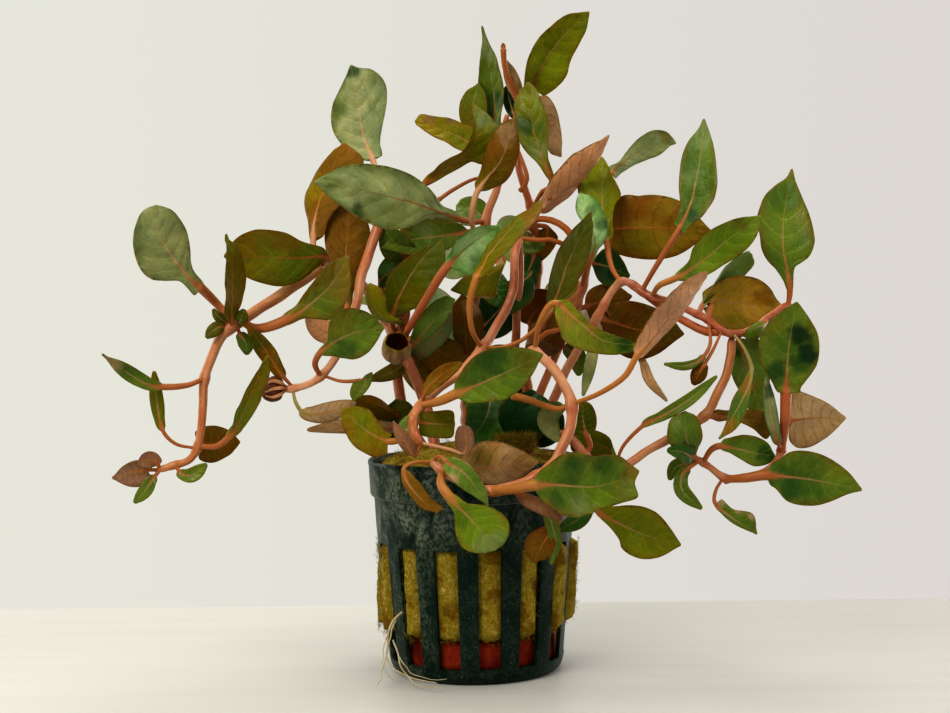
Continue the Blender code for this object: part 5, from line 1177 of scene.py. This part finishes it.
        grow("deepGreen", ((594, 467, 21), (588, 492, 23), (579, 518, 24), (557, 531, 24)), wide=4.6),
        grow("orangeBrown", ((590, 462, 21), (606, 462, 15), (617, 456, 13), (598, 444, 12),
            (570, 441, 12)), ((600, 457), (585, 455), (572, 451)), ((611, 440), (595, 430), (577, 431)),
            stalk=0.3, cup=0.1),
    ),
}

# Tones of undersides: a leaf with one of them in front shows its underside
underTones = ("brown", "orangeBrown", "deepBrown", "redBrown", "rosyBrown", "pinkBrown", "greyBrown",
              "darkRed", "palePink", "paleBrown", "warmBrown")


def layersOf(shape):
    shape.loops.layers.uv.new("UVMap")
    return (shape.verts.layers.float_vector.new("place"), shape.verts.layers.float.new("face"),
            shape.verts.layers.float_color.new("tone"), shape.verts.layers.float_color.new("ribTone"))


def newRows(shape, around, rows):  # a sheet of rows to bend into one closed body
    made = bmesh.ops.create_grid(shape, x_segments=around, y_segments=rows, size=1, calc_uvs=True)["verts"]
    return [(vertex, (vertex.co.x + 1) / 2, (vertex.co.y + 1) / 2) for vertex in made]


def finishShape(shape):
    bmesh.ops.remove_doubles(shape, verts=shape.verts, dist=0.001 * mm)
    bmesh.ops.recalc_face_normals(shape, faces=shape.faces)
    return shape


stemForm = dict(around=16, rowLength=3.2, below=14, knob=0.26, knobReach=4.5, ring=0.1, ringAt=5,
                ringReach=1.6, uneven=0.07, unevenLength=22, bend=1.6, bendLength=30, ridge=0.05, ridges=4,
                ridgeTurn=9, grainLength=26)
stemPaths = {}
for stemName, stem in stems.items():
    spots = [spotOf(place) for place in stem["path"]]
    below = spots[0].copy()
    below.y += stemForm["below"]
    stemPaths[stemName] = smoothPath([below] + spots)


def nearestShare(stemName, spot):
    at, _ = stemPaths[stemName]
    return min((step / 500 for step in range(501)), key=lambda share: (at(share) - spot).length)


def stemRadius(stemName, share):
    start, middle, end = stems[stemName]["wide"]
    return (mix(start, middle, share * 2) if share < 0.5 else mix(middle, end, share * 2 - 1)) / 2


nodeShares = {name: [] for name in stems}
for leaf in leaves.values():
    nodeShares[leaf["on"]].append(nearestShare(leaf["on"], spotOf(leaf["line"][0])))
for stemName, group in sprigs.items():
    for sprig in group:
        nodeShares[stemName].append(nearestShare(stemName, spotOf(sprig["line"][0])))


def atNodes(name, share, length, beyond, reach):  # 1 where a leaf grows, or just beyond, and 0 away from it
    return max((bell(((share - node) * length - beyond) / reach) for node in nodeShares[name]), default=0)


def toneAlong(steps, share):
    for (low, first), (high, second) in zip(steps, steps[1:]):
        if share <= high:
            amount = ramp(share, low, high)
            return [blend(a, b, amount) for a, b in zip(tones[first], tones[second])]
    return tones[steps[-1][1]]


def makeStem(name):
    at, length = stemPaths[name]
    shape = bmesh.new()
    placeLayer, faceLayer, toneLayer, _ = layersOf(shape)
    seed = sum(ord(letter) for letter in name)
    rows = int(length / stemForm["rowLength"])
    rowFacts = {}
    for vertex, turn, share in newRows(shape, stemForm["around"], rows):
        row = round(share * rows)
        if row not in rowFacts:  # one set of facts for all places round the stem
            inner = innerShare(row, rows)
            reach = inner * length
            spot, heading = at(inner), headingOf(at, inner)
            across = heading.cross(toEye).normalized()
            knob = atNodes(name, inner, length, 0, stemForm["knobReach"])
            ring = atNodes(name, inner, length, stemForm["ringAt"], stemForm["ringReach"])
            swell = 1 + stemForm["knob"] * knob + stemForm["ring"] * ring
            swell += stemForm["uneven"] * waver(reach / stemForm["unevenLength"], seed, 0)
            swell *= 0 if row in (0, rows) else 1 - 0.35 * ramp(inner, 0.985, 1.0)
            radius = stemRadius(name, inner) * perMm(spot) * swell
            bend = [waver(reach / stemForm["bendLength"], seed, kind) for kind in (5, 9)]
            spot += Vector((*bend, 0)) * stemForm["bend"] * ramp(inner, 0.02, 0.1)
            rowFacts[row] = (spot, across, across.cross(heading), radius, inner, knob)
        spot, across, out, radius, inner, knob = rowFacts[row]
        angle = turn * 2 * math.pi
        ridge = math.cos(angle * stemForm["ridges"] + inner * stemForm["ridgeTurn"])
        normal = across * math.cos(angle) + out * math.sin(angle)
        vertex.co = seen(spot + normal * (radius * (1 + stemForm["ridge"] * ridge)))
        vertex[placeLayer] = Vector((inner * length / pictureScale, math.cos(angle), math.sin(angle)))
        vertex[faceLayer] = math.sin(angle)
        main, patch, dark = toneAlong(stems[name]["tones"], inner)
        grain = waver(inner * length / stemForm["grainLength"], seed, math.cos(angle)) * 0.5 + 0.5
        tone = blend(main, patch, ramp(grain, 0.35, 0.7))
        vertex[toneLayer] = (*blend(tone, dark, 0.55 * knob), 1)
    makePiece(camelCase(name), finishShape(shape), "stem", (name,))


leafForm = dict(base=0.65, tip=0.7, thin=0.19, quilt=0.75, wave=4.5, ripple=1.9, groove=0.9, grooveReach=3.0)


def bladeWidth(share):  # as a share of the greatest width
    base, tip = leafForm["base"], leafForm["tip"]
    belly = base / (base + tip)
    return (share / belly) ** base * ((1 - share) / (1 - belly)) ** tip


def crossOf(leaf, mid, heading, edges, share):  # from the middle line to both edges, in picture places
    turn = math.radians(leaf.get("roll", 0))
    if not edges:
        across = toEye.cross(heading).normalized()
        out = across.cross(heading)
        out = out if out.z > 0 else -out
        half = bladeWidth(share) * leaf["wide"] / 2 * perMm(mid)
        step = (across * math.cos(turn) + out * math.sin(turn)) * half
        return -step, step
    result = []
    for edgeAt, sign in zip(edges, (-1, 1)):
        spot = edgeAt(share)
        step = Vector((spot.x - mid.x, spot.y - mid.y, 0))
        step.z = sign * math.tan(turn) * step.length
        result.append(step)
    return result


def leafRows(leaf, at, length, edges, stalkShare, stalkRadius, rows):  # stalk first, then blade, row by row
    facts = []
    lastOut = toEye
    stalkPart = min(stalkShare, 0.3)
    for row in range(rows + 1):
        raw = innerShare(row, rows)
        blade, inner = 0.0, raw / stalkPart * stalkShare
        if raw >= stalkPart:
            even = (raw - stalkPart) / (1 - stalkPart)
            blade = mix(even, (1 - math.cos(math.pi * even)) / 2, 0.7)
            inner = mix(stalkShare, 1, blade)
        mid, heading = at(inner), headingOf(at, inner)
        scale = perMm(mid)
        toLeft, toRight = crossOf(leaf, mid, heading, edges, blade) if blade > 0 else (Vector(), Vector())
        slim = mix(0.72, 1.0, ramp(inner, 0.0, max(stalkShare, 0.12)))
        core = stalkRadius * scale * slim * (1 + 0.35 * bell(inner * length / 4))
        sideways = toEye.cross(heading).normalized()
        if blade < 0.15 and (toRight - toLeft).dot(sideways) < 0:
            toLeft, toRight = Vector(), Vector()
        stay = core * (1 - ramp(blade, 0.0, 0.22)) + 0.2 * scale * ramp(blade, 0.9, 1.0)
        toLeft, toRight = toLeft - sideways * stay, toRight + sideways * stay
        out = (toRight - toLeft).cross(heading).normalized()
        out = out if out.dot(lastOut) > 0 else -out
        lastOut = out
        half = (toRight - toLeft).length / 2
        ribCore = core * (1 - blade) ** 1.8
        if row in (0, rows):
            toLeft, toRight, half, ribCore = Vector(), Vector(), 0, 0
        facts.append((mid, toLeft, toRight, out, half, ribCore, blade, scale))
    return facts


def edgePaths(leaf, base, tip):  # both edges in the picture, from the foot of the blade to its tip
    ends = [Vector((end.x, end.y, 0)) for end in (base, tip)]
    return [smoothPath([ends[0]] + [Vector((*spot, 0)) for spot in edge] + [ends[1]])[0]
            for edge in leaf["edges"]]


def skinTone(palette, spot, side, blade, seed, marks):
    main, patch, margin = palette
    grain = waver(spot.x * 0.035, spot.y * 0.035, seed) * 0.5 + 0.5
    tone = blend(main, patch, ramp(grain, 0.3, 0.7))
    blotch = waver(spot.x * 0.06, spot.y * 0.06, seed + 20) * 0.5 + 0.5
    margins = ramp(abs(side), 0.6, 1.0) * mix(0.35, 1.0, ramp(blotch, 0.35, 0.65))
    tone = blend(tone, margin, 0.7 * margins + 0.3 * ramp(blade, 0.8, 1.0) * (1 - abs(side)))
    for across, down, reach, toneName, strength in marks:
        gap = (Vector((spot.x, spot.y)) - Vector((across, down))).length
        gap += waver(spot.x * 0.12, spot.y * 0.12, 3) * reach * 0.5
        tone = blend(tone, tones[toneName][0], strength * (1 - ramp(gap, reach * 0.4, reach * 1.15)))
    return tone


def makeLeaf(pieceName, nodeName, slotName, leaf, seed, around, rows):
    shape = bmesh.new()
    placeLayer, faceLayer, toneLayer, ribLayer = layersOf(shape)
    spots = [spotOf(place) for place in leaf["line"]]
    spots[0] = stemPaths[leaf["on"]][0](nearestShare(leaf["on"], spots[0]))
    at, length = smoothPath(spots)
    stalkShare = leaf.get("stalk", 0.2)
    if "foot" in leaf:
        foot = Vector(leaf["foot"])
        shares = (step / 200 for step in range(180))
        stalkShare = max(min(shares, key=lambda share: (at(share).xy - foot).length), 0.03)
    stalkRadius = leaf.get("stalkWide", 1.5) / 2
    showsUnder = leaf["front"] in underTones
    underSide = -1 if showsUnder else 1
    stalkTone = tones[leaf.get("stalkTone", "stalkRed")]
    ribTone = tones[leaf.get("rib", "stalkOrange" if showsUnder else "ribPale")][0]
    crinkle = leaf.get("crinkle", 0.45)
    edges = edgePaths(leaf, at(stalkShare), at(1.0))
    facts = leafRows(leaf, at, length, edges, stalkShare, stalkRadius, rows)
    for vertex, turn, share in newRows(shape, around, rows):
        mid, toLeft, toRight, out, half, ribCore, blade, scale = facts[round(share * rows)]
        faceSign = 1 if turn <= 0.5 else -1
        even = (turn * 2 if turn <= 0.5 else (1 - turn) * 2) * 2 - 1
        flatness = ramp(half, 1.2 * stalkRadius * scale, 2.6 * stalkRadius * scale)
        side = mix(math.sin(even * math.pi / 2), even, 0.75 * flatness)
        spread = (toRight if side > 0 else toLeft) * abs(side)
        distance = spread.length
        spot = mid + spread
        # Thickness: round at the stalk, thin at the blade, with the rib standing out
        thin = leafForm["thin"] * scale
        ribHeight = ribCore * (0.35 if faceSign == underSide else 1.0)
        thick = max(mix(ribCore, thin, flatness), thin * min(1, half))
        thick += flatness * max(ribHeight - thin, 0) * bell(distance / max(ribCore * 0.9, 0.6))
        thick *= 1 if half > 0 else 0
        thick += leaf.get("plump", 0) * half * (1 - side * side) * flatness
        rim = math.sqrt(max(0.0, 1 - abs(side) ** mix(2, 9, flatness)))
        # Relief: waves, the quilting between the veins, the groove of the rib and the cup of the blade
        wave = waver(spot.x * 0.045, spot.y * 0.045, seed) * leafForm["wave"]
        wave += waver(spot.x * 0.13, spot.y * 0.13, seed + 7) * leafForm["ripple"]
        wave *= flatness * ramp(blade, 0.0, 0.2) * crinkle
        phase = blade * veinPairs - abs(side) ** 1.35 * 1.25
        quilt = math.cos(phase * 2 * math.pi) * leafForm["quilt"] * (1 - abs(side) ** 4)
        quilt *= ramp(blade, 0.05, 0.2)
        groove = -leafForm["groove"] * bell(distance / leafForm["grooveReach"]) * (1 - blade)
        cup = leaf.get("cup", 0.15) * half * side * side
        lift = flatness * (cup - quilt * crinkle * underSide + groove * (1 if underSide > 0 else -0.6))
        vertex.co = seen(spot + out * (lift + wave + faceSign * thick * rim))
        # Tones: the blade's, running into the stalk's
        palette, marks = leaf.get("back", "olive"), ()
        if faceSign > 0:
            palette, marks = leaf["front"], leaf.get("marks", ())
        tone = skinTone(tones[palette], spot, side, blade, seed + 3 * faceSign, marks)
        stalkAmount = (1 - ramp(blade, 0.0, 0.22)) * (1 - ramp(distance, ribCore * 0.3, ribCore * 1.1 + 1))
        if blade < 0.3:
            narrow = 1 - ramp(half, 0.8 * stalkRadius * scale, 1.5 * stalkRadius * scale)
            stalkAmount = max(stalkAmount, narrow)
        grain = waver(spot.x * 0.08, spot.y * 0.08, seed) * 0.5 + 0.5
        stalkMix = blend(stalkTone[0], stalkTone[1], grain)
        vertex[placeLayer] = Vector((blade, side, math.copysign(distance / scale, side)))
        vertex[faceLayer] = float(faceSign * underSide)
        vertex[toneLayer] = (*blend(tone, stalkMix, stalkAmount), 1)
        vertex[ribLayer] = (*blend(stalkMix, blend(tone, ribTone, 0.7), ramp(blade, 0.02, 0.45)), 1)
    makePiece(pieceName, finishShape(shape), slotName, (nodeName,))


for stemName in stems:
    makeStem(stemName)
print("stems made:", len(stems))

slotOf = {part["node"]: part["material_slot"] for part in frame["record"]["subparts"]}
for number, (leafName, leaf) in enumerate(leaves.items()):
    leaf = dict(dict(back="brown"), **leaf)
    makeLeaf(camelCase(leafName), leafName, slotOf[leafName], leaf, number * 1.7, 36, 64)
print("leaves made:", len(leaves))

slotTones = {
    "leaf_pink_brown": ("pinkBrown", "greyBrown", "rosyBrown"),
    "leaf_brown": ("redBrown", "stemPink", "brown", "deepBrown", "orangeBrown", "darkRed", "stalkRed",
                   "stalkOrange"),
    "leaf_olive": ("orangeOlive", "olive", "yellowOlive"),
    "leaf_grey_green": ("greyGreen", "glossyGreen"),
}
for stemName, group in sprigs.items():
    for number, sprig in enumerate(group, 1):
        stalkWide = 0.9 if sprig.get("wide", 6) < 6 else 1.3
        sprig = dict(dict(cup=0.2, stalkWide=stalkWide, on=stemName), **sprig)
        slotName = next((slot for slot, names in slotTones.items() if sprig["front"] in names), "leaf_green")
        pieceName = f"{camelCase(stemName)}Sprig{number}"
        makeLeaf(pieceName, stemName, slotName, sprig, number * 2.3, 24, 36)
print("sprigs made")

# Cup: an open young cup on the left long shoot
cup = dict(spot=(396, 349, 8), steps=28, tilt=48, turn=14, profile=(
    (0, -3.6), (1.2, -3.5), (2.5, -2.6), (3.35, -1.0), (3.5, 0.6), (3.2, 2.0), (2.9, 2.6), (2.7, 2.7),
    (2.6, 2.5), (2.9, 0.6), (2.7, -0.8), (2.0, -2.0), (0.9, -2.6), (0, -2.7)),
    middle=0.5, stripes=7, ridges=5, ridge=0.05, uneven=0.08)


def makeCup():
    shape = turnedShape(cup["profile"], cup["steps"])
    placeLayer, faceLayer, toneLayer, ribLayer = layersOf(shape)
    outer, inner, lip = tones["greyBrown"], tones["darkRed"], tones["yellowOlive"]
    shape.normal_update()
    for vertex in shape.verts:
        angle = math.atan2(vertex.co.y, vertex.co.x)
        height = vertex.co.z / mm
        isOutside = vertex.normal.dot(vertex.co - Vector((0, 0, cup["middle"] * mm))) > 0
        stripe = ramp(math.cos(angle * cup["stripes"] + height * 0.4), 0.2, 0.9)
        tone = blend(outer[0], inner[1], 0.7 * stripe) if isOutside else blend(inner[0], inner[2], stripe)
        tone = blend(tone, lip[0], 0.8 * ramp(height, 1.6, 2.6) if isOutside else 0)
        ripple = 1 + cup["ridge"] * math.cos(angle * cup["ridges"])
        ripple += cup["uneven"] * noise.noise(vertex.co * 260)
        vertex[placeLayer] = Vector((0.5, math.sin(angle) * 0.6, 1.5))
        vertex[faceLayer] = -1.0
        vertex[toneLayer] = (*tone, 1)
        vertex[ribLayer] = (*tone, 1)
        vertex.co = Vector((vertex.co.x * ripple, vertex.co.y * ripple, vertex.co.z))
    lean = Matrix.Rotation(math.radians(cup["tilt"]), 3, "X")
    lean = Matrix.Rotation(math.radians(cup["turn"]), 3, "Y") @ lean
    bmesh.ops.rotate(shape, verts=shape.verts, cent=(0, 0, 0), matrix=lean)
    bmesh.ops.translate(shape, verts=shape.verts, vec=seen(spotOf(cup["spot"])))
    makePiece("stemLeftLongCup", finishShape(shape), "leaf_brown", ("stem_left_long",))


makeCup()
print("cup made")

# Roots: fine strands from a slot at the lower left, lying on the table
rootForm = dict(around=6, rows=40, perMm=4.5, waver=1.5)
rootStrands = (
    dict(wide=0.55, path=((402, 612, 14.9), (395, 619, 15.4), (389, 632, 16.5), (388, 645, 17),
                          (386, 657, 17.5), (391, 667, 18.5), (406, 676, 20), (420, 680, 21),
                          (436, 683, 22))),
    dict(wide=0.4, path=((396, 619, 15.2), (391, 632, 16.4), (386, 657, 17.5), (383, 668, 19), (381, 678, 21),
                         (377, 686, 23))),
    dict(wide=0.45, path=((393, 640, 16), (398, 655, 17.5), (402, 668, 19), (412, 682, 21), (424, 687, 24),
                          (440, 688, 25))),
    dict(wide=0.3, path=((390, 628, 16.2), (384, 645, 17), (383, 660, 18), (386, 672, 20), (393, 680, 22))),
    dict(wide=0.28, path=((398, 655, 17.5), (410, 672, 20.5), (425, 678, 22), (437, 680, 24),
                          (447, 679, 25))),
)


def makeRoots():
    shape = bmesh.new()
    rows = rootForm["rows"]
    for strand in rootStrands:
        at, _ = smoothPath([spotOf(place) for place in strand["path"]])
        for vertex, turn, share in newRows(shape, rootForm["around"], rows):
            row = round(share * rows)
            inner = innerShare(row, rows)
            heading = headingOf(at, inner)
            across = heading.cross(toEye).normalized()
            out = across.cross(heading)
            radius = strand["wide"] / 2 * rootForm["perMm"] * (1 - 0.5 * inner)
            radius *= 0 if row in (0, rows) else 1
            spot = at(inner)
            spot.x += waver(inner * 6, strand["wide"] * 50, 0) * rootForm["waver"]
            angle = turn * 2 * math.pi
            place = seen(spot)
            away = seen(spot + across * math.cos(angle) * radius + out * math.sin(angle) * radius) - place
            place.z = max(place.z, strand["wide"] / 2 * mm)
            vertex.co = place + away
    makePiece("rootStrands", finishShape(shape), "root", ("roots",))


makeRoots()
print("roots made")

# Table, light and camera
stage = dict(tableFront=-0.55, tableBack=0.082, tableHalf=1.4, tableDepth=0.04, tableTurn=-1.9,
             tableGap=0.00005, tableEdge=0.003, table=(0.578, 0.565, 0.53), streaks=0.35,
             wallLeft=(0.574, 0.572, 0.52), wallRight=(0.534, 0.512, 0.494), dim=0.8,
             aim=Vector((0, 0, 0.08)))


def tableMaterial():
    material = bpy.data.materials.new("tableTop")
    material.use_nodes = True
    tree = material.node_tree
    shader = tree.nodes["Principled BSDF"]
    place = tree.nodes.new("ShaderNodeTexCoord").outputs["Object"]
    # Darker horizontal bands paint streaky reflections across the table
    reflectionNoise = noiseOf(tree, stretched(tree, place, (1.2, 30, 1)), 5, 4, 0.6)
    colour = stage["table"]
    reflectionTone = tuple(channel * 0.9 for channel in colour)
    tone = mixColour(tree, rampTo(tree, reflectionNoise, 0.4, 0.65, 0.0, stage["streaks"]), (*colour, 1), (*reflectionTone, 1))
    shade = rampTo(tree, partsOf(tree, place)[0], -0.06, 0.16, 0.0, 0.15)
    link(tree, mixColour(tree, shade, tone, (0.0, 0.0, 0.0, 1)), shader.inputs["Base Color"])
    shader.inputs["Roughness"].default_value = 0.45
    return material


def makeStage():
    shape = bmesh.new()
    bmesh.ops.create_cube(shape, size=1)
    back, front = stage["tableBack"], stage["tableFront"]
    bmesh.ops.scale(shape, verts=shape.verts, vec=(2 * stage["tableHalf"], back - front, stage["tableDepth"]))
    bmesh.ops.translate(shape, verts=shape.verts, vec=(
        0, (back + front) / 2, -stage["tableDepth"] / 2 - stage["tableGap"]))
    bmesh.ops.rotate(shape, verts=shape.verts, cent=(0, back, 0),
                     matrix=Matrix.Rotation(math.radians(stage["tableTurn"]), 3, "Z"))
    bmesh.ops.bevel(shape, geom=shape.edges[:], offset=stage["tableEdge"], offset_type="OFFSET", segments=3,
                    profile=0.5, affect="EDGES", material=-1)
    data = bpy.data.meshes.new("table")
    shape.to_mesh(data)
    shape.free()
    data.shade_smooth()
    data.set_sharp_from_angle(angle=math.radians(30))
    data.materials.append(tableMaterial())
    table = bpy.data.objects.new("table", data)
    scene.collection.objects.link(table)


lights = (
    dict(name="windowLight", place=(-0.5, -0.75, 0.8), size=0.5, power=6.5, colour=(1.0, 0.98, 0.92)),
    dict(name="roomLight", place=(0.8, -0.6, 0.45), size=0.8, power=2.2, colour=(1.0, 0.97, 0.93)),
    dict(name="topLight", place=(0.1, 0.1, 1.0), size=0.6, power=3.6, colour=(1.0, 1.0, 0.96)),
    dict(name="rightWallLight", place=(0.65, 0.5, 0.12), size=0.5, power=2.2, colour=(1.0, 0.98, 0.95)),
    dict(name="leftWallLight", place=(-0.65, 0.35, 0.25), size=0.5, power=1.4, colour=(0.97, 1.0, 0.96)),
)


def makeLights():
    for facts in lights:
        data = bpy.data.lights.new(facts["name"], "AREA")
        data.size = facts["size"]
        data.energy = facts["power"]
        data.color = facts["colour"]
        lamp = bpy.data.objects.new(facts["name"], data)
        lamp.location = facts["place"]
        lamp.rotation_euler = (stage["aim"] - lamp.location).to_track_quat("-Z", "Y").to_euler()
        scene.collection.objects.link(lamp)


def makeRoom():
    world = bpy.data.worlds.new("room")
    world.use_nodes = True
    tree = world.node_tree
    across = partsOf(tree, tree.nodes.new("ShaderNodeTexCoord").outputs["Generated"])[0]
    left, right = (*stage["wallLeft"], 1), (*stage["wallRight"], 1)
    isCamera = tree.nodes.new("ShaderNodeLightPath").outputs["Is Camera Ray"]
    background = tree.nodes["Background"]
    link(tree, mixColour(tree, rampTo(tree, across, -0.3, 0.3), left, right), background.inputs["Color"])
    link(tree, rampTo(tree, isCamera, 0.0, 1.0, stage["dim"], 1.0), background.inputs["Strength"])
    scene.world = world


def makeCamera():
    data = bpy.data.cameras.new("camera")
    data.sensor_fit = "HORIZONTAL"
    data.sensor_width = eye["sensor"]
    data.lens = eye["sensor"] * eye["perTangent"] / eye["width"]
    data.clip_start = 0.01
    camera = bpy.data.objects.new("camera", data)
    turn = Matrix((eyeRight, eyeUp, -forward)).transposed().to_4x4()
    camera.matrix_world = Matrix.Translation(eye["place"]) @ turn
    scene.collection.objects.link(camera)
    scene.camera = camera


makeStage()
makeLights()
makeRoom()
makeCamera()
scene.view_settings.view_transform = "Standard"
scene.view_settings.look = "High Contrast"
print("stage, light and camera made")
